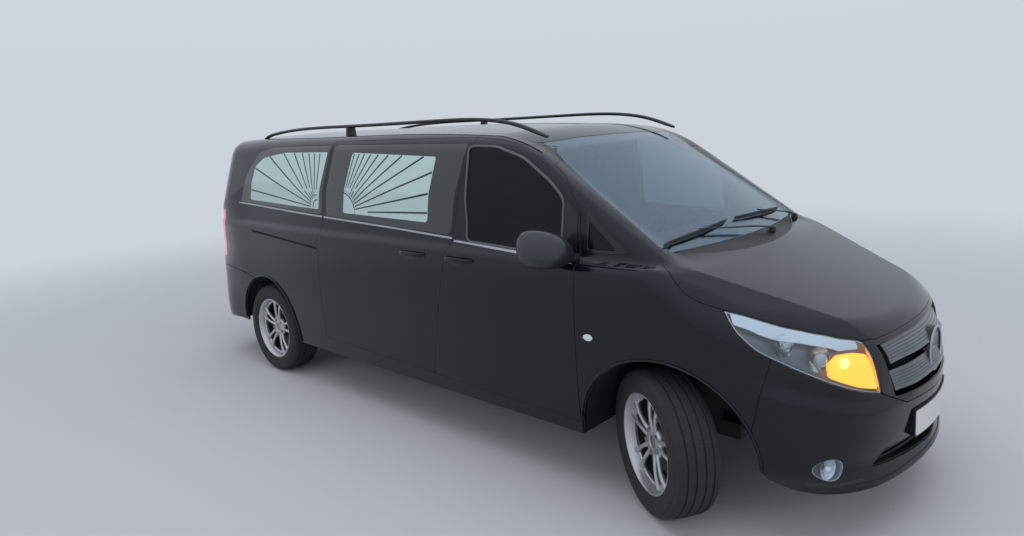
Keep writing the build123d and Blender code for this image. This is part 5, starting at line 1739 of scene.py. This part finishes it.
def rail():
    """The right bar, which comes down to the roof at both ends, with a post between."""
    line = [
        (0.990, 1.742), (0.900, 1.775), (0.780, 1.812), (0.600, 1.842), (0.161, 1.858), (-0.776, 1.858),
        (-1.60, 1.848),
    ]
    line += [(-1.80, 1.832), (-1.92, 1.812), (-1.98, 1.790)]
    curve = Curve([(x, -rail_y, z) for x, z in line])
    path = curve.at(np.linspace(0, curve.knots[-1], rail_steps))
    swell = np.linspace(0.7, 12, rail_steps)
    bar = drawn(path, ring_section(0.034, 0.022, 12, 2.6), np.clip(np.minimum(swell, swell[::-1]), 0.7, 1.0))
    foot = [(rail_post_x, -rail_y, z) for z in (1.770, 1.800, 1.852)]
    post = drawn(foot, ring_section(0.026, 0.080, 10, 3), [1.5, 1.0, 0.9])
    return joined([bar, post])


rail_black = Graph("rail_black").surface(base_color=(0.012, 0.012, 0.013), roughness=0.35)
rails = on_side("roof_rail", [rail()], rail_black, sharp=1.2)
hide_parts("roof_rails")

# %% [markdown]
# Seats, seen through the glass. How far a point may move is capped, and then the sewn lines are
# pressed in.

# %% Pads and their seams
seat_cloth = Graph("seat_cloth")
weave = seat_cloth.node(
    "ShaderNodeTexWave", {"bands_direction": "X"}, {"Vector": seat_cloth.place(), "Scale": 90.0},
)
cross = seat_cloth.node(
    "ShaderNodeTexWave", {"bands_direction": "Z"}, {"Vector": seat_cloth.place(), "Scale": 90.0},
)
seat_cloth.surface(
    base_color=seat_cloth.mix(seat_cloth.noise(180.0, 3.0), (0.030, 0.031, 0.034), (0.075, 0.077, 0.083)),
    roughness=0.9,
)
seat_cloth.bump(weave * cross, 0.35, 0.0008)
seat_cloth = seat_cloth.material


def slab(middle, size, lean, bevel):
    """A bevelled box, leaned about Y."""
    mesh = bpy.data.meshes.new("slab")
    points, faces = brick(-np.array(size) / 2, np.array(size) / 2, bevel)
    turn = np.array(Matrix.Rotation(lean, 3, "Y"))
    mesh.from_pydata([tuple(p) for p in points @ turn.T + middle], [], [tuple(f) for f in faces])
    return mesh


cloth_steps = 20


def puffed(obj, pressure=4.0, cap=0.012):
    """Inflate a pad by a short cloth simulation, cap each point's move and keep the result."""
    mesh = obj.data
    start = np.array([tuple(v.co) for v in mesh.vertices])
    cloth = obj.modifiers.new("cloth", "CLOTH")
    cloth.settings.use_pressure = True
    cloth.settings.uniform_pressure_force = pressure
    cloth.settings.effector_weights.gravity = 0.0
    cloth.settings.quality = 4
    cloth.point_cache.frame_end = cloth_steps
    for step in range(1, cloth_steps + 1):
        bpy.context.scene.frame_set(step)
    shown = obj.evaluated_get(bpy.context.evaluated_depsgraph_get())
    moved = np.array([tuple(v.co) for v in shown.data.vertices])
    obj.modifiers.remove(cloth)
    bpy.context.scene.frame_set(1)
    away = moved - start
    length = np.linalg.norm(away, axis=1, keepdims=True)
    mesh.vertices.foreach_set("co", (start + away * np.minimum(1, cap / np.maximum(length, 1e-9))).ravel())
    mesh.update()


def press_lines(obj, lines, axis, width=0.010, depth=0.006):
    """Press sewn lines into a pad: points near a value along an axis move in towards the middle."""
    mesh = obj.data
    points = np.array([tuple(v.co) for v in mesh.vertices])
    normals = np.array([tuple(v.normal) for v in mesh.vertices])
    for value in lines:
        near = np.exp(-(((points[:, axis] - value) / width) ** 2))
        points -= normals * (near * depth)[:, None]
    mesh.vertices.foreach_set("co", points.ravel())
    mesh.update()


def pad(name, middle, size, lean, lines, axis):
    """One pad: a slab remeshed to even quads, puffed by a short cloth simulation, with its sewn lines."""
    obj = link_object(name, slab(middle, size, lean, 0.028), seat_cloth)
    bpy.context.view_layer.objects.active = obj
    remesh = obj.modifiers.new("remesh", "REMESH")
    remesh.mode, remesh.voxel_size = "VOXEL", 0.006
    shown = obj.evaluated_get(bpy.context.evaluated_depsgraph_get())
    obj.data = bpy.data.meshes.new_from_object(shown)
    obj.modifiers.clear()
    if not obj.data.materials:
        obj.data.materials.append(seat_cloth)
    puffed(obj)
    press_lines(obj, lines, axis)
    obj.data.shade_smooth()
    return obj


seat_y, seam_y, post_half = 0.400, 0.13, 0.06
seams = (-seat_y - seam_y, -seat_y + seam_y)
pads = {
    "seat_base": ((0.800, -seat_y, 0.757), (0.430, 0.430, 0.088), math.radians(-3.5), seams, 1),
    "seat_back": ((0.528, -seat_y, 1.055), (0.084, 0.430, 0.470), math.radians(-11.5), seams, 1),
    "headrest": ((0.445, -seat_y, 1.420), (0.070, 0.236, 0.132), math.radians(-5.0), (), 1),
}
for name, numbers in pads.items():
    right = pad(f"right_{name}", *numbers)
    left_mesh = right.data.copy()
    left_mesh.transform(Matrix.Translation((0, 2 * seat_y, 0)))
    left = link_object(f"left_{name}", left_mesh)
    for piece in (right, left):
        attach(piece, "body")
        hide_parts("front_seats")
frames_of_seats = []
for post_y in (-seat_y - post_half, -seat_y + post_half):
    frames_of_seats.append(
        drawn([(0.447, post_y, 1.37), (0.462, post_y, 1.26)], ring_section(0.012, 0.012, 12)),
    )
frames_of_seats.append(brick((0.585, -seat_y - 0.175, 0.44), (0.975, -seat_y + 0.175, 0.700), 0.01))
on_side("seat_frame", frames_of_seats, black_plastic)
print("seats ready")

# %% [markdown]
# What is left of the frame's own solids is inside or underneath. Each gets a finish, in its first material
# slot.

# %% Finishes inside and below
board = Graph("deck_board")
grain = board.noise(9.0, 6.0, stretch=(1.0, 14.0, 14.0))
board.surface(
    base_color=board.mix(grain, (0.050, 0.028, 0.014), (0.150, 0.088, 0.046)), roughness=grain * 0.2 + 0.30,
    coat_weight=0.3,
)
board.bump(grain, 0.15, 0.001)
mat = Graph("floor_paint")
mat.surface(
    base_color=mat.mix(mat.noise(30.0, 4.0), (0.018, 0.018, 0.019), (0.040, 0.040, 0.042)), roughness=0.7,
)
mat.bump(mat.noise(400.0, 2.0), 0.3, 0.001)
cast_steel = Graph("dark_steel")
cast_steel.surface(
    base_color=cast_steel.mix(cast_steel.noise(12.0, 5.0), (0.030, 0.029, 0.028), (0.085, 0.080, 0.075)),
    metallic=0.5, roughness=0.6,
)
cast_steel.bump(cast_steel.noise(260.0, 3.0), 0.4, 0.0012)
grain_plastic = Graph("grained_plastic")
grain_plastic.surface(base_color=(0.022, 0.022, 0.024), roughness=0.62)
grain_plastic.bump(grain_plastic.noise(520.0, 2.0), 0.4, 0.0008)
finishes = {
    "coffin_deck": board, "floor_pan": mat, "engine_block": cast_steel, "front_subframe": cast_steel,
    "left_knuckle": cast_steel, "right_knuckle": cast_steel, "rear_axle": cast_steel,
    "dashboard": grain_plastic,
    "partition": grain_plastic, "steering_wheel": grain_plastic, "cowl_panel": grain_plastic,
}
for name, graph in finishes.items():
    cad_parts[name].material_slots[0].material = graph.material
print("finishes", len(finishes))

# %% [markdown]
# The stage is a pale floor and soft studio light, so that gloss and form read clearly.

# %% Stage and light


def look_at(place, target):
    """A matrix at a place whose -Z axis points at a target."""
    turn = (Vector(target) - Vector(place)).to_track_quat("-Z", "Y")
    return Matrix.Translation(place) @ turn.to_matrix().to_4x4()


def softbox(name, place, target, size, energy):
    light = bpy.data.lights.new(name, "AREA")
    light.shape = "RECTANGLE"
    light.size, light.size_y = size
    light.energy = energy
    lamp = bpy.data.objects.new(name, light)
    lamp.matrix_world = look_at(place, target)
    lamp.visible_glossy = False
    bpy.context.scene.collection.objects.link(lamp)


horizon, zenith = (0.60, 0.65, 0.72), (0.84, 0.91, 1.0)
fade_near, fade_far = 3.2, 10.5


def make_stage():
    """A plain floor that fades into the horizon, and a backdrop seen paler than it lights."""
    floor = bpy.data.meshes.new("floor")
    reach = 60.0
    floor.from_pydata(
        [(-reach, -reach, 0), (reach, -reach, 0), (reach, reach, 0), (-reach, reach, 0)], [],
        [(0, 1, 2, 3)],
    )
    look = Graph("floor")
    look.surface(base_color=(0.60, 0.62, 0.65), roughness=0.75)
    spread = look.node("ShaderNodeVectorMath", {"operation": "LENGTH"}, {0: look.place()}, output=1)
    far = look.node(
        "ShaderNodeMapRange", {"interpolation_type": "SMOOTHSTEP"},
        {"Value": spread, "From Min": fade_near, "From Max": fade_far},
    )
    ray = [
        look.node("ShaderNodeLightPath", {}, {}, output=name)
        for name in ("Is Camera Ray", "Is Glossy Ray", "Is Transmission Ray")
    ]
    glow = look.node("ShaderNodeEmission", {}, {"Color": (*horizon, 1.0)})
    own = Value(look, look.bsdf.outputs[0])
    look.blend(far * (ray[0] + ray[1] + ray[2]), own, glow)
    link_object("floor", floor, look.material)
    world = bpy.data.worlds.new("backdrop")
    bpy.context.scene.world = world
    world.use_nodes = True
    tree = world.node_tree
    shade = tree.nodes["Background"]
    path = tree.nodes.new("ShaderNodeLightPath")
    blend = tree.nodes.new("ShaderNodeMix")
    blend.data_type = "RGBA"
    blend.inputs[6].default_value = (0.30, 0.32, 0.36, 1.0)
    way = tree.nodes.new("ShaderNodeTexCoord")
    split = tree.nodes.new("ShaderNodeSeparateXYZ")
    tree.links.new(way.outputs["Generated"], split.inputs[0])
    height = tree.nodes.new("ShaderNodeMapRange")
    height.interpolation_type = "SMOOTHSTEP"
    height.inputs["From Min"].default_value = 0.0
    height.inputs["From Max"].default_value = 0.9
    tree.links.new(split.outputs["Z"], height.inputs["Value"])
    sky = tree.nodes.new("ShaderNodeMix")
    sky.data_type = "RGBA"
    sky.inputs[6].default_value = (*horizon, 1.0)
    sky.inputs[7].default_value = (*zenith, 1.0)
    tree.links.new(height.outputs["Result"], sky.inputs["Factor"])
    tree.links.new(sky.outputs[2], blend.inputs[7])
    seen = path.outputs["Is Camera Ray"]
    for other in ("Is Glossy Ray", "Is Transmission Ray"):
        either = tree.nodes.new("ShaderNodeMath")
        either.operation = "MAXIMUM"
        tree.links.new(seen, either.inputs[0])
        tree.links.new(path.outputs[other], either.inputs[1])
        seen = either.outputs[0]
    tree.links.new(seen, blend.inputs["Factor"])
    tree.links.new(blend.outputs[2], shade.inputs["Color"])
    shade.inputs["Strength"].default_value = 1.0
    softbox("overhead", (0.3, -0.6, 6.0), (0, 0, 0), (12.0, 7.0), 260)
    softbox("side", (0.8, -9.0, 4.0), (0, 0, 0.9), (12.0, 4.0), 170)
    softbox("front", (9.0, -2.5, 4.0), (1.0, 0, 0.9), (6.0, 3.5), 110)
    softbox("far_side", (-1.0, 9.0, 4.5), (0, 0, 0.9), (12.0, 4.0), 150)
    bpy.context.scene.view_settings.view_transform = "Standard"


make_stage()
